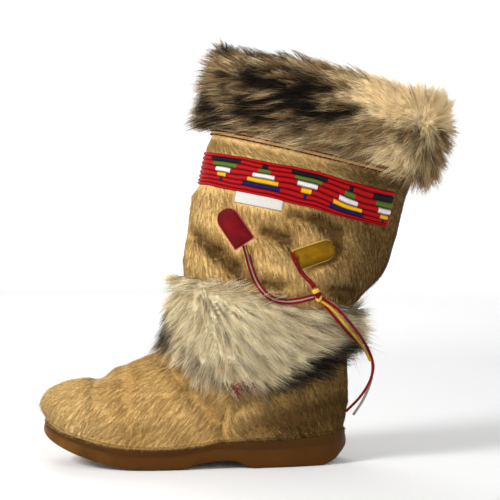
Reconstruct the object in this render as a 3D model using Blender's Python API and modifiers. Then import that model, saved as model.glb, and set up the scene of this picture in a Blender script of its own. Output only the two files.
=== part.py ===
"""A left mukluk boot: a rubber sole, a hide upper, a fur cuff, a fur anklet, a woven band and ties.

The toe points to -X, the boot's inner side is +Y and up is +Z. The origin is on the floor, at the
middle of the heel's flat tread. Sizes are in millimetres, measured from the back of the heel:
a station is negative towards the toe. The whole is made in metres at the end, by to_metres().

The upper is a stack of girdles, closed loops that run round the foot from a front point to a back
point. The lowest is the line where upper and sole meet and the highest is the collar. Everything
sewn or tied to the upper is placed on that same surface, by skin().
"""

import math

import bmesh
import bpy
import numpy as np

# Driving sizes
MM = 0.001
HEEL_CENTRE = -55.0
CLEARANCE = 0.3
FUR_GAP = 0.6
WALL = 2.5
AROUND = 44

# The girdles, bottom to top. front and back are the loop's ends in the side view. dip is the share
# of the sole line's curve, and bend that of the last's left curve, that the loop keeps. toe to end
# are half widths at 0, 25, 60, 85 and 100 percent of the loop's length, before rounding the ends.
GIRDLE_COLUMNS = (
    "front_x", "front_z", "back_x", "back_z", "dip", "bend", "toe", "fore", "waist", "heel", "end",
)
GIRDLES = {
    "sole_line":   (-265.0, 37.4, -4.0, 28.6, 1.00, 1.0, 66, 54, 38, 46, 60),
    "toe_bulge":   (-269.5, 50.0, -1.0, 44.0, 0.80, 1.0, 66, 56, 39, 46, 59),
    "toe_cap":     (-263.5, 63.0, 0.5, 58.0, 0.55, 1.0, 55, 49, 39, 45, 58),
    "toe_top":     (-246.0, 72.5, 0.5, 71.0, 0.32, 1.0, 39, 42, 38, 44, 56),
    "vamp_low":    (-216.0, 77.5, 0.5, 83.0, 0.18, 1.0, 36, 41, 37.5, 42, 53),
    "vamp_mid":    (-197.0, 85.5, 0.5, 94.0, 0.08, 0.9, 38, 40, 37, 41, 51),
    "vamp_high":   (-173.0, 94.5, 1.0, 106.0, 0.0, 0.7, 39, 40, 38, 41, 49),
    "instep":      (-153.5, 109.0, 2.0, 118.0, 0.0, 0.5, 47, 42, 40, 42, 48),
    "ankle":       (-143.5, 130.0, 2.0, 129.0, 0.0, 0.2, 48, 44, 43, 43, 48),
    "tuck":        (-140.5, 147.0, 4.0, 137.0, 0.0, 0.0, 47, 46, 45, 45, 47),
    "slouch":      (-142.0, 158.0, 14.0, 149.0, 0.0, 0.0, 49, 49, 49, 48, 48),
    "roll":        (-144.0, 172.0, 31.0, 167.0, 0.0, 0.0, 51, 51, 52, 51, 49),
    "shaft_low":   (-143.0, 190.0, 37.0, 180.0, 0.0, 0.0, 51, 51, 51, 50, 49),
    "shaft_mid":   (-139.5, 214.0, 40.0, 191.0, 0.0, 0.0, 51, 50, 50, 50, 50),
    "shaft_bulge": (-135.5, 235.5, 43.0, 201.0, 0.0, 0.0, 52, 52, 52, 51, 51),
    "band_low":    (-130.5, 245.0, 44.5, 207.0, 0.0, 0.0, 52, 52, 52, 51, 51),
    "band_top":    (-124.0, 273.0, 51.5, 236.0, 0.0, 0.0, 52, 52, 52, 52, 52),
    "seam":        (-119.0, 290.5, 57.0, 249.5, 0.0, 0.0, 53, 53, 53, 53, 53),
    "collar":      (-107.0, 348.0, 76.0, 306.0, 0.0, 0.0, 54, 54, 54, 54, 54),
    "fur_top":     (-102.0, 374.0, 85.0, 333.0, 0.0, 0.0, 54, 54, 54, 54, 54),
}
SHARES = (0.0, 0.25, 0.6, 0.85, 1.0)
LEVEL = {name: float(i) for i, name in enumerate(GIRDLES)}
# The levels at which the upper's outer face has a loop of points: closer where it curves more.
UPPER_LEVELS = np.concatenate([np.arange(0, 4, 0.5), np.arange(4, 11, 0.75), np.arange(11, 19, 1.0)])

# The line where upper and sole meet, its height by station, and the left curve of the last,
# which carries the toe towards the inner side and the waist a little outwards.
SOLE_LINE = {
    -269: 38.9, -261: 35.3, -245: 29.2, -222: 23.2, -194: 18.8, -165: 18.0, -132: 20.5,
    -110: 23.3, -80: 23.9, -56: 24.4, -31: 25.8, -12: 27.7, 2: 29.2,
}
LEFT_CURVE = {-270: 9.0, -235: 7.0, -195: 2.5, -150: -2.0, -105: -4.0, -60: -1.0, -30: 0.0, 5: 0.0}

# The tread's height by station: toe spring, ball, arch, heel breast, heel and its rounded back.
TREAD = {
    -274: 30.0, -262: 21.5, -241: 12.5, -222: 6.8, -203: 2.6, -184: 0.0, -147: 0.0, -132: 4.4,
    -109: 7.0, -99: 5.6, -90: 1.6, -85: 0.0, -25: 0.0, -14: 3.4, -5: 10.5, 4: 18.0,
}
# The sole's side, top to bottom: the share of its height and how far it stands out of the upper.
SOLE_SIDE = (
    (0.0, -1.5), (0.0, 1.6), (0.06, 2.4), (0.28, 2.5), (0.31, 1.9), (0.34, 2.7),
    (0.7, 3.4), (0.9, 3.0), (0.975, 1.6), (1.0, -0.6),
)
INSOLE_THICK, INSOLE_GAP = 4.0, 0.9

# The deep fur: its thickness round the leg, how far the cuff's locks stand above the collar by
# degrees from the front, and the anklet's lower and upper edge as levels by degrees.
CUFF_FUR = {"front": 13.0, "side": 12.0, "back": 20.0}
CUFF_RISE = {0: 21.0, 45: 26.0, 75: 33.0, 100: 31.0, 135: 23.0, 180: 22.0}
ANKLE_FUR = {"front": 20.0, "side": 10.0, "back": 9.0}
ANKLE_LOW = {0: 6.4, 30: 6.0, 57: 5.0, 88: 3.1, 107: 2.6, 125: 2.9, 142: 3.9, 165: 5.1, 180: 5.4}
ANKLE_HIGH = {0: 10.5, 30: 10.5, 57: 10.2, 88: 9.35, 107: 9.0, 125: 8.9, 142: 9.0, 165: 9.1, 180: 9.1}
CUFF_LOCKS, ANKLE_LOCKS = 28, 22
# A fur's cross-section, hem to top: how far up the strip, and the share of the fur's thickness.
CUFF_OUTER = ((0.085, 0.36), (0.125, 0.7), (0.22, 1.0), (0.45, 1.1), (0.7, 1.05), (0.95, 0.85))
CUFF_TIP = ((0.55, 0.6), (1.0, 0.12))
CUFF_INNER = ((0.09, FUR_GAP), (0.5, FUR_GAP), (1.0, FUR_GAP), (1.08, -1.2), (1.25, -2.2))
ANKLE_OUTER = ((0.0, 0.28), (0.1, 0.62), (0.28, 0.92), (0.5, 1.05), (0.72, 0.95), (0.9, 0.6), (1.0, 0.22))
ANKLE_INNER = ((0.94, -1.2), (0.7, -1.2), (0.4, -1.2), (0.12, -1.2))
# What a crest of a lock adds: out of the fur, upwards at the top edge, and along the strip.
CUFF_LOCK = {"out": 2.2, "top": 4.5, "lean": 0.03}
ANKLE_LOCK = {"out": 2.0, "hem": 0.07, "lean": 0.02}

# The woven band: raised cords between two levels, its ends short of the back seam.
BAND_CORDS = 8
BAND_COLUMNS = range(-18, 19)
BAND_VALLEY, BAND_RIDGE = 1.2, 2.3
# The piping's cross-section: out of the upper and up along it.
PIPING = ((0.45, -2.6), (2.0, -1.6), (1.2, 0.0), (2.0, 1.6), (0.45, 2.6))
BACK_SEAM = {"theta": math.radians(172), "half": math.radians(1.9), "low": 10.3, "high": 16.85}
BACK_SEAM_INNER, BACK_SEAM_OUTER = 0.45, 1.3

# Places on the outer side of the shaft, in the side view: start and end of each piece's middle line.
# A round end is drawn to ROUND_END of its quarter turn and closed by a short straight edge.
ROUND_END = 0.88
PATCH_GAP = 0.6
LABEL = {"start": (-102.9, 232.8), "end": (-61.9, 224.0), "width": 10.0, "thick": 0.9, "round": 0}
RED_TAB = {"start": (-94.2, 195.6), "end": (-111.5, 222.6), "width": 20.0, "thick": 1.8, "round": 1}
YELLOW_TAB = {"start": (-46.5, 180.8), "end": (-15.4, 191.0), "width": 17.6, "thick": 1.8, "round": 1}

# Beads: the middle (x, y, z), the way its hole points in the side view, and its sizes.
BEADS = {
    "bead_upper": {"middle": (-32.9, -50.5, 153.4), "slope": -68, "across": 7.0, "long": 4.0},
    "bead_lower": {"middle": (-30.2, -49.0, 147.2), "slope": -25, "across": 6.6, "long": 4.6},
}
BEAD_HOLE = 2.6
# The ties as they lie on the shaft, each through x, z and how far its middle is off the upper.
TIE_THICK, END_THICK = 4.0, 1.9
TIES = {
    "tie_front": (
        (-92.6, 192.4, 2.6), (-90.7, 185.6, 2.6), (-88.0, 175.0, 2.6), (-84.2, 164.3, 3.0),
        (-78.3, 155.0, 3.8), (-69.6, 148.6, 4.6), (-59.3, 146.6, 5.2), (-48.9, 147.6, 5.6),
        (-40.8, 149.5, 5.8), (-35.0, 151.0, 6.0),
    ),
    "tie_rear": (
        (-53.4, 186.6, 2.6), (-51.4, 180.6, 2.6), (-47.0, 171.8, 3.0), (-41.8, 165.6, 3.3),
        (-37.7, 161.8, 3.8), (-35.1, 157.8, 4.3),
    ),
}
# The four ends that hang from the beads over the anklet, each through x, y, z.
TIE_ENDS = {
    "end_red_short": (
        (-28.2, -47.8, 144.9), (-21.4, -48.6, 136.8), (-11.7, -46.0, 125.4), (-0.9, -38.0, 113.6),
        (10.6, -29.0, 103.5),
    ),
    "end_yellow": (
        (-28.2, -50.3, 144.9), (-18.4, -50.8, 137.6), (-8.4, -48.0, 126.0), (2.1, -40.0, 113.8),
        (11.5, -31.5, 102.2), (17.5, -27.5, 90.9),
    ),
    "end_red_long": (
        (-27.2, -50.3, 147.3), (-14.6, -49.6, 138.8), (-3.7, -46.2, 126.8), (6.9, -38.0, 114.2),
        (15.2, -29.0, 101.6), (20.4, -24.5, 88.3), (19.6, -23.0, 77.6), (15.0, -22.5, 67.0),
        (7.5, -22.0, 56.5), (-3.2, -22.0, 45.9),
    ),
    "end_grey_long": (
        (-27.2, -47.8, 147.3), (-16.0, -46.8, 140.8), (-5.0, -43.2, 129.0), (6.0, -34.8, 115.9),
        (14.7, -25.6, 102.6), (20.2, -21.0, 88.6), (19.9, -19.8, 76.1), (16.7, -19.3, 65.0),
        (11.4, -19.2, 53.9), (3.7, -19.2, 42.4),
    ),
}

COLOURS = {
    "rubber": (0.42, 0.20, 0.05), "hide": (0.58, 0.36, 0.13), "felt": (0.60, 0.52, 0.40),
    "brown_fur": (0.22, 0.17, 0.12), "cream_fur": (0.72, 0.66, 0.55), "weave": (0.60, 0.02, 0.02),
    "piping": (0.22, 0.07, 0.05), "label": (0.85, 0.85, 0.82), "red_leather": (0.36, 0.01, 0.02),
    "yellow_leather": (0.42, 0.28, 0.02), "bead": (0.75, 0.50, 0.03), "grey_cord": (0.50, 0.48, 0.45),
}


def through(knots, values, at):
    """A smooth curve through the values at the knots that never overshoots them."""
    knots, at = np.asarray(knots, float), np.asarray(at, float)
    flat = at.ravel()
    values = np.asarray(values, float).reshape(len(knots), -1) * np.ones(flat.size)
    rise = np.diff(values, axis=0) / np.diff(knots)[:, None]
    same = rise[1:] * rise[:-1] > 0
    total = np.where(same, rise[1:] + rise[:-1], 1)
    inner = np.where(same, 2 * rise[1:] * rise[:-1] / total, 0)
    slope = np.vstack([rise[:1], inner, rise[-1:]])
    cell = np.clip(np.searchsorted(knots, flat, side="right") - 1, 0, len(knots) - 2)
    one = np.arange(flat.size)
    width = knots[cell + 1] - knots[cell]
    t = (flat - knots[cell]) / width
    low, high = values[cell, one], values[cell + 1, one]
    low_slope, high_slope = slope[cell, one] * width, slope[cell + 1, one] * width
    curve = low + t * low_slope + t * t * (3 * (high - low) - 2 * low_slope - high_slope)
    curve = curve + t ** 3 * (low_slope + high_slope - 2 * (high - low))
    return curve.reshape(at.shape)


def along(table, station):
    return through(list(table), list(table.values()), station)


def by_side(sizes, theta):
    """A size that is named at the front, the side and the back, smoothly round the loop."""
    front = np.maximum(np.cos(theta), 0) ** 2
    back = np.maximum(-np.cos(theta), 0) ** 2
    return sizes["side"] + (sizes["front"] - sizes["side"]) * front + (sizes["back"] - sizes["side"]) * back


def bare_skin(theta, level):
    """The upper's outer face: theta runs 0 front, 90 outer side, 180 back, 270 degrees inner side."""
    theta, level = np.broadcast_arrays(np.asarray(theta, float), np.asarray(level, float))
    rows = np.array(list(GIRDLES.values()), float)
    at = {name: through(range(len(rows)), rows[:, i], level) for i, name in enumerate(GIRDLE_COLUMNS)}
    share = (1 - np.cos(theta)) / 2
    x = at["front_x"] + (at["back_x"] - at["front_x"]) * share
    first = GIRDLES["sole_line"]
    straight = first[1] + (first[3] - first[1]) * (x - first[0]) / (first[2] - first[0])
    z = at["front_z"] + (at["back_z"] - at["front_z"]) * share + at["dip"] * (along(SOLE_LINE, x) - straight)
    widths = np.array([at[name].ravel() for name in GIRDLE_COLUMNS[6:]])
    wide = through(SHARES, widths, share)
    y = at["bend"] * along(LEFT_CURVE, x) - np.sin(theta) * wide
    return np.stack([x, y, z], axis=-1)


def skin_frame(theta, level):
    """The upper's outer face with its outward normal and its upward tangent."""
    step = 0.01
    top = len(GIRDLES) - 1
    level = np.asarray(level, float)
    here = bare_skin(theta, level)
    round_it = bare_skin(theta + step, level) - bare_skin(theta - step, level)
    up = bare_skin(theta, np.minimum(level + step, top)) - bare_skin(theta, np.maximum(level - step, 0))
    normal = np.cross(round_it, up)
    normal /= np.linalg.norm(normal, axis=-1, keepdims=True)
    up /= np.linalg.norm(up, axis=-1, keepdims=True)
    return here, normal, up


def skin(theta, level, out=0.0, rise=0.0):
    """Points that stand out of the upper's face by out, and up along it by rise."""
    here, normal, up = skin_frame(theta, level)
    return here + normal * np.asarray(out)[..., None] + up * np.asarray(rise)[..., None]


def skin_place(x, z):
    """The (theta, level) at which the outer side of the shaft is seen at x, z from the side."""
    x, z = np.broadcast_arrays(np.asarray(x, float), np.asarray(z, float))
    theta, level = np.full(x.shape, math.pi / 2), np.full(x.shape, LEVEL["shaft_low"])
    step = 0.001
    for _ in range(25):
        here = bare_skin(theta, level)
        by_theta = (bare_skin(theta + step, level) - here) / step
        by_level = (bare_skin(theta, level + step) - here) / step
        off_x, off_z = x - here[..., 0], z - here[..., 2]
        det = by_theta[..., 0] * by_level[..., 2] - by_level[..., 0] * by_theta[..., 2]
        turn = (off_x * by_level[..., 2] - by_level[..., 0] * off_z) / det
        climb = (by_theta[..., 0] * off_z - off_x * by_theta[..., 2]) / det
        theta = np.clip(theta + np.clip(turn, -0.3, 0.3), 0.05, math.pi - 0.05)
        level = np.clip(level + np.clip(climb, -1, 1), 0.5, len(GIRDLES) - 1.5)
    return theta, level


def to_metres(points):
    return (np.asarray(points, float) - (HEEL_CENTRE, 0, 0)) * MM


def new_material(name, roughness=0.8):
    material = bpy.data.materials.new(name)
    material.use_nodes = True
    shader = material.node_tree.nodes["Principled BSDF"]
    shader.inputs["Base Color"].default_value = (*COLOURS[name], 1)
    shader.inputs["Roughness"].default_value = roughness
    return material


def add_solid(name, points, faces, material):
    """One closed solid from its points, in millimetres, and its faces."""
    mesh = bpy.data.meshes.new(name)
    mesh.from_pydata([tuple(p) for p in to_metres(points)], [], faces)
    work = bmesh.new()
    work.from_mesh(mesh)
    bmesh.ops.recalc_face_normals(work, faces=work.faces)
    work.to_mesh(mesh)
    work.free()
    mesh.shade_smooth()
    mesh.set_sharp_from_angle(angle=math.radians(40))
    solid = bpy.data.objects.new(name, mesh)
    solid.data.materials.append(material)
    parts.objects.link(solid)
    return solid


def strips(rows, columns, rows_close, columns_close, start=0):
    """The quads of a grid of points, closed or open either way."""
    quads = []
    for r in range(rows if rows_close else rows - 1):
        for c in range(columns if columns_close else columns - 1):
            a, b = r * columns, ((r + 1) % rows) * columns
            d = (c + 1) % columns
            quads.append((start + a + c, start + a + d, start + b + d, start + b + c))
    return quads


def ring_solid(name, loops, material):
    """A ring whose cross-section is a closed profile: loops is profile points by places round it."""
    rows, columns = loops.shape[:2]
    return add_solid(name, loops.reshape(-1, 3), strips(rows, columns, True, True), material)


def stacked_solid(name, loops, material):
    """Loops of the same outline stacked into a solid, its two ends closed straight across."""
    rows, columns = loops.shape[:2]
    faces = strips(rows, columns, False, True)
    for start in (0, (rows - 1) * columns):
        faces.append((start, start + 1, start + columns - 1))
        for c in range(1, columns // 2 - 1):
            faces.append((start + c, start + c + 1, start + columns - c - 1, start + columns - c))
        faces.append((start + columns // 2 - 1, start + columns // 2, start + columns // 2 + 1))
    return add_solid(name, loops.reshape(-1, 3), faces, material)


def plate(name, outer, inner, material):
    """A sheet with thickness, from the grids of its two faces."""
    rows, columns = outer.shape[:2]
    count = rows * columns
    faces = strips(rows, columns, False, False) + strips(rows, columns, False, False, count)
    edge = list(range(columns)) + [r * columns + columns - 1 for r in range(1, rows)]
    edge += list(range(count - 2, count - columns - 1, -1)) + [r * columns for r in range(rows - 2, 0, -1)]
    for a, b in zip(edge, edge[1:] + edge[:1]):
        faces.append((a, b, b + count, a + count))
    return add_solid(name, np.concatenate([outer.reshape(-1, 3), inner.reshape(-1, 3)]), faces, material)


def turns(count):
    return np.arange(count) * 2 * math.pi / count


def plan_loop(out):
    """The sole line's outline seen from above, moved outwards in the plan by out."""
    theta = turns(AROUND)
    outline = bare_skin(theta, 0.0)
    tangent = bare_skin(theta + 0.01, 0.0) - bare_skin(theta - 0.01, 0.0)
    normal = np.stack([tangent[:, 1], -tangent[:, 0], 0 * theta], axis=-1)
    return outline + normal / np.linalg.norm(normal, axis=-1, keepdims=True) * out


def make_outsole():
    """The moulded rubber sole: the sole line's outline, carried down its stepped side to the tread."""
    loops = []
    for share, out in SOLE_SIDE:
        loop = plan_loop(out)
        top = along(SOLE_LINE, loop[:, 0]) - CLEARANCE
        loop[:, 2] = top + (along(TREAD, loop[:, 0]) - top) * share
        loops.append(loop)
    return stacked_solid("outsole", np.array(loops), new_material("rubber", 0.45))


def make_insole():
    """A felt insole that fills the bottom of the upper."""
    loops = []
    for height in (0.0, INSOLE_THICK):
        loop = plan_loop(-WALL - INSOLE_GAP)
        loop[:, 2] = along(SOLE_LINE, loop[:, 0]) + height
        loops.append(loop)
    return stacked_solid("insole", np.array(loops), new_material("felt", 0.95))


def make_upper():
    """The hide upper with its lining: one wall from the sole line to the collar, open at both ends."""
    theta = turns(AROUND)
    outer = np.array([skin(theta, level) for level in UPPER_LEVELS])
    inner_levels = np.append(UPPER_LEVELS[::2], UPPER_LEVELS[-1])[::-1]
    inner = np.array([skin(theta, level, np.full(AROUND, -WALL)) for level in inner_levels])
    inner[-1, :, 2] = outer[0, :, 2]
    return ring_solid("upper", np.concatenate([outer, inner]), new_material("hide"))


def locks(theta, count, row):
    """Between -1 and 1 round a fur: the pointed crests of its locks, which lean forward row by row."""
    phase = theta * count / (2 * math.pi) + 0.5 * (row % 2)
    return 1 - 4 * np.abs(phase - np.floor(phase) - 0.5)


def make_cuff_fur():
    """The fur cuff round the collar, its locks standing above the rim."""
    theta = turns(2 * CUFF_LOCKS)
    low, tall = LEVEL["seam"], LEVEL["collar"] - LEVEL["seam"]
    loops = [skin(theta, low + tall * up, np.full(theta.shape, out)) for up, out in CUFF_INNER]
    thick = by_side(CUFF_FUR, theta)
    from_front = np.degrees(np.minimum(theta, 2 * math.pi - theta))
    rise = along(CUFF_RISE, from_front)
    for row, (up, share) in enumerate(CUFF_TIP[::-1]):
        crest = locks(theta, CUFF_LOCKS, row)
        out = (thick + CUFF_LOCK["out"] * crest) * share
        loops.append(skin(theta, LEVEL["collar"], out, (rise + CUFF_LOCK["top"] * crest) * up))
    for row, (up, share) in enumerate(CUFF_OUTER[::-1]):
        crest = locks(theta, CUFF_LOCKS, row)
        out = thick * share + CUFF_LOCK["out"] * crest * min(share, 1)
        loops.append(skin(theta, low + tall * (up + CUFF_LOCK["lean"] * crest), out))
    return ring_solid("cuff_fur", np.array(loops), new_material("brown_fur", 0.9))


def make_ankle_fur():
    """The fur anklet: a thick ring of locks, cut on its inner side to the shape of the upper."""
    theta = turns(2 * ANKLE_LOCKS)
    from_front = np.degrees(np.minimum(theta, 2 * math.pi - theta))
    low, high = along(ANKLE_LOW, from_front), along(ANKLE_HIGH, from_front)
    tall = high - low
    loops = [skin(theta, low + tall * up, np.full(theta.shape, out)) for up, out in ANKLE_INNER[::-1]]
    thick = by_side(ANKLE_FUR, theta)
    for row, (up, share) in enumerate(ANKLE_OUTER[::-1]):
        crest = locks(theta, ANKLE_LOCKS, row)
        edge = ANKLE_LOCK["hem" if up == 0 else "lean"]
        out = (thick + ANKLE_LOCK["out"] * crest) * share
        loops.append(skin(theta, low + tall * (up - edge * crest), out))
    fur = ring_solid("ankle_fur", np.array(loops), new_material("cream_fur", 0.9))

    inside = turns(AROUND)
    levels = [v for v in UPPER_LEVELS if LEVEL["toe_bulge"] <= v <= LEVEL["shaft_low"]]
    core = np.array([skin(inside, level, np.full(AROUND, FUR_GAP)) for level in levels])
    cutter = stacked_solid("ankle_fur_cutter", core, new_material("felt"))
    parts.objects.unlink(cutter)
    cutters.objects.link(cutter)
    cutter.hide_render = True
    cutter.display_type = "WIRE"
    cut = fur.modifiers.new("fit_to_upper", "BOOLEAN")
    cut.operation = "DIFFERENCE"
    cut.solver = "EXACT"
    cut.object = cutter
    return fur


def make_band():
    """The woven band: eight raised cords laid round the shaft, open at the back seam."""
    theta = np.array(BAND_COLUMNS) * 2 * math.pi / AROUND
    low, high = LEVEL["band_low"], LEVEL["band_top"]
    outer = []
    for step in range(2 * BAND_CORDS + 1):
        level = low + (high - low) * step / (2 * BAND_CORDS)
        out = BAND_RIDGE if step % 2 else BAND_VALLEY
        outer.append(skin(theta, level, np.full(theta.shape, out)))
    inner = [skin(theta, level, np.full(theta.shape, CLEARANCE)) for level in (low, high)]
    outer, inner = np.array(outer), np.array(inner)
    rows, columns = outer.shape[:2]
    points = np.concatenate([outer.reshape(-1, 3), inner.reshape(-1, 3)])
    below = rows * columns
    above = below + columns
    faces = strips(rows, columns, False, False) + strips(2, columns, False, False, below)
    for c in range(columns - 1):
        faces.append((c, c + 1, below + c + 1, below + c))
        top = (rows - 1) * columns + c
        faces.append((top, top + 1, above + c + 1, above + c))
    for c in (0, columns - 1):
        faces.append(tuple(r * columns + c for r in range(rows)) + (above + c, below + c))
    return add_solid("woven_band", points, faces, new_material("weave"))


def make_piping():
    """The double piping in the seam between the hide and the fur cuff."""
    theta = turns(AROUND)
    full = np.ones(AROUND)
    loops = [skin(theta, LEVEL["seam"], out * full, rise * full) for out, rise in PIPING]
    return ring_solid("cuff_piping", np.array(loops), new_material("piping"))


def make_back_seam():
    """The raised seam down the back of the shaft, a little towards the outer side."""
    size = BACK_SEAM
    between = [v for v in UPPER_LEVELS if size["low"] < v < size["high"]]
    levels = np.array([size["low"], *between, size["high"]])
    outer, inner = [], []
    for turn in (-size["half"], 0, size["half"]):
        theta = np.full(levels.shape, size["theta"] + turn)
        outer.append(skin(theta, levels, np.full(levels.shape, BACK_SEAM_OUTER)))
        inner.append(skin(theta, levels, np.full(levels.shape, BACK_SEAM_INNER)))
    return plate("back_seam", np.array(outer), np.array(inner), new_material("piping"))


def make_patch(name, size, material):
    """A flat piece sewn to the outer side: a strip along its middle line, one end round or square."""
    start, end = np.array(size["start"]), np.array(size["end"])
    length = np.linalg.norm(end - start)
    ahead = (end - start) / length
    side = np.array([-ahead[1], ahead[0]])
    half = size["width"] / 2
    steps = np.linspace(0, math.pi / 2 * ROUND_END, 5) if size["round"] else np.array([0.0])
    places = list(np.linspace(0, length - half * size["round"], 5)[:-1])
    places += list(length - half * size["round"] + half * np.sin(steps) * size["round"])
    halves = [half] * 4 + list(half * np.cos(steps))
    outer, inner = [], []
    for place, reach in zip(places, halves):
        row = start + ahead * place + side * np.array([[-reach], [0], [reach]])
        theta, level = skin_place(row[:, 0], row[:, 1])
        inner.append(skin(theta, level, np.full(3, PATCH_GAP)))
        outer.append(skin(theta, level, np.full(3, PATCH_GAP + size["thick"])))
    return plate(name, np.array(outer), np.array(inner), material)


def make_bead(name, size, material):
    """A turned bead with a hole, its profile spun round its own axis."""
    profile = []
    for turn in turns(8):
        wide = (size["across"] + BEAD_HOLE) / 4 + (size["across"] - BEAD_HOLE) / 4 * math.cos(turn)
        profile.append((wide * MM, 0, size["long"] / 2 * math.sin(turn) * MM))
    mesh = bpy.data.meshes.new(name)
    mesh.from_pydata(profile, [(i, (i + 1) % 8) for i in range(8)], [])
    bead = bpy.data.objects.new(name, mesh)
    parts.objects.link(bead)
    spin = bead.modifiers.new("spin", "SCREW")
    spin.steps = spin.render_steps = 12
    spin.use_merge_vertices = True
    spin.merge_threshold = 0.00001
    spin.use_normal_calculate = True
    bead.location = to_metres(size["middle"])
    bead.rotation_euler = (0, math.radians(90 - size["slope"]), 0)
    mesh.materials.append(material)
    return bead


def smooth_route(points, spacing):
    """Evenly spaced points of a smooth curve through the route's own points."""
    points = np.array(points, float)
    far = np.concatenate([[0], np.cumsum(np.linalg.norm(np.diff(points, axis=0), axis=1))])
    fine = np.linspace(0, far[-1], 20 * len(points))
    before, after = points[:1] - (points[1] - points[0]), points[-1:] + (points[-1] - points[-2])
    padded = np.concatenate([before, points, after])
    cell = np.clip(np.searchsorted(far, fine, side="right") - 1, 0, len(points) - 2)
    t = ((fine - far[cell]) / (far[cell + 1] - far[cell]))[:, None]
    a, b, c, d = (padded[cell + k] for k in range(4))
    curve = 0.5 * (2 * b + (c - a) * t + (2 * a - 5 * b + 4 * c - d) * t * t + (3 * b - a - 3 * c + d) * t ** 3)
    far = np.concatenate([[0], np.cumsum(np.linalg.norm(np.diff(curve, axis=0), axis=1))])
    even = np.linspace(0, far[-1], max(3, round(far[-1] / spacing) + 1))
    return np.stack([np.interp(even, far, curve[:, k]) for k in range(3)], axis=-1)


def make_cord(name, points, thick, material):
    """A plain tube along a smooth route."""
    route = to_metres(smooth_route(points, 2.9 * thick))
    curve = bpy.data.curves.new(name, "CURVE")
    curve.dimensions = "3D"
    curve.bevel_depth = thick / 2 * MM
    curve.bevel_resolution = 2
    curve.use_fill_caps = True
    spline = curve.splines.new("POLY")
    spline.points.add(len(route) - 1)
    for point, place in zip(spline.points, route):
        point.co = (*place, 1)
    curve.materials.append(material)
    cord = bpy.data.objects.new(name, curve)
    parts.objects.link(cord)
    return cord


def make_ties():
    """The two ties on the shaft, their beads, and the four ends that hang from the beads."""
    red, grey = new_material("red_leather", 0.5), new_material("grey_cord", 0.6)
    yellow, bead = new_material("yellow_leather", 0.5), new_material("bead", 0.3)
    for name, route in TIES.items():
        x, z, out = np.array(route).T
        theta, level = skin_place(x, z)
        make_cord(name, skin(theta, level, out), TIE_THICK, red)
    for name, route in TIE_ENDS.items():
        colour = {"red": red, "yellow": yellow, "grey": grey}[name.split("_")[1]]
        make_cord(name, route, END_THICK, colour)
    for name, size in BEADS.items():
        make_bead(name, size, bead)
    make_patch("red_tab", RED_TAB, red)
    make_patch("yellow_tab", YELLOW_TAB, yellow)


for old in list(bpy.data.objects):
    bpy.data.objects.remove(old, do_unlink=True)
parts = bpy.data.collections.new("mukluk_boot")
cutters = bpy.data.collections.new("cutters")
for collection in (parts, cutters):
    bpy.context.scene.collection.children.link(collection)

make_outsole()
make_insole()
make_upper()
make_cuff_fur()
make_ankle_fur()
make_band()
make_piping()
make_back_seam()
make_patch("label", LABEL, new_material("label"))
make_ties()
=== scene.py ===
"""The looks of a left mukluk boot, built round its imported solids.

The toe points to -X, the inner side is +Y and up is +Z; the origin is on the floor under the
middle of the heel. The upper's face is worked out in millimetres from the back of the heel, as in
the boot's solids, and new_piece() brings every finished mesh into the frame, in metres. The
sections follow the boot as it is put together.
"""

import math

import bpy
import numpy as np
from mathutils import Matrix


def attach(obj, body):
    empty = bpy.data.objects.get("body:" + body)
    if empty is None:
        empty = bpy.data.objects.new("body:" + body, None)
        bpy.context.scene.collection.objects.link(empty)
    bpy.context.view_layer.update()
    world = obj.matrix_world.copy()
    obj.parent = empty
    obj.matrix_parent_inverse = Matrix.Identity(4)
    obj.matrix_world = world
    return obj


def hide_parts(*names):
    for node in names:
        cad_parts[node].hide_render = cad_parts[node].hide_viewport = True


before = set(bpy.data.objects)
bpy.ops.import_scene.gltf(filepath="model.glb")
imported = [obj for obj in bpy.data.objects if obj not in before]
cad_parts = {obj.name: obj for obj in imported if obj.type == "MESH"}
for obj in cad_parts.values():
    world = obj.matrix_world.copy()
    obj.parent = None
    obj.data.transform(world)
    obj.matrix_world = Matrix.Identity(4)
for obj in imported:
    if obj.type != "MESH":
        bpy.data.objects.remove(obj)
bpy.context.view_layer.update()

# Camera, floor and light
# The boot stands on a plain pale floor that sweeps up all round, and is seen square on from its outer
# side, from 1.3 m away at the height of its shaft. The main light comes from the toe's side and above.
VANTAGE = (-0.110, -1.300, 0.229)
AIM = (-0.031, 0.0, 0.187)
LENS = 106.0
SOFTBOXES = {
    "key_light": {"place": (-1.55, -0.95, 1.25), "size": 0.7, "watts": 37.0},
    "fill_light": {"place": (0.7, -1.7, 1.2), "size": 1.4, "watts": 9.0},
    "back_light": {"place": (-0.5, 1.6, 1.3), "size": 1.4, "watts": 12.0},
}
SKY_LIGHT = 0.34
FLOOR_INNER, FLOOR_RADIUS, SWEEP, SWEEP_RINGS, FLOOR_COLUMNS = 0.9, 3.2, 2.2, 24, 96
# Far out the floor glows a little, so that it meets the white around it: over what distance, how much.
GLOW_OVER, GLOW = 2.6, 0.62


def placed(name, data):
    """A new object of the scene that carries the data."""
    thing = bpy.data.objects.new(name, data)
    bpy.context.scene.collection.objects.link(thing)
    return thing


def look_at(thing, place, target):
    """Places a camera or lamp and turns its -Z axis towards the target."""
    thing.location = place
    way = [t - p for t, p in zip(target, place)]
    thing.rotation_euler = (
        math.atan2(math.hypot(way[0], way[1]), -way[2]), 0.0, math.atan2(way[1], way[0]) - math.pi / 2,
    )


def turns(count):
    """Angles all round, evenly spaced: the full turn times i / count."""
    return np.arange(count) * 2 * math.pi / count


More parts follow.
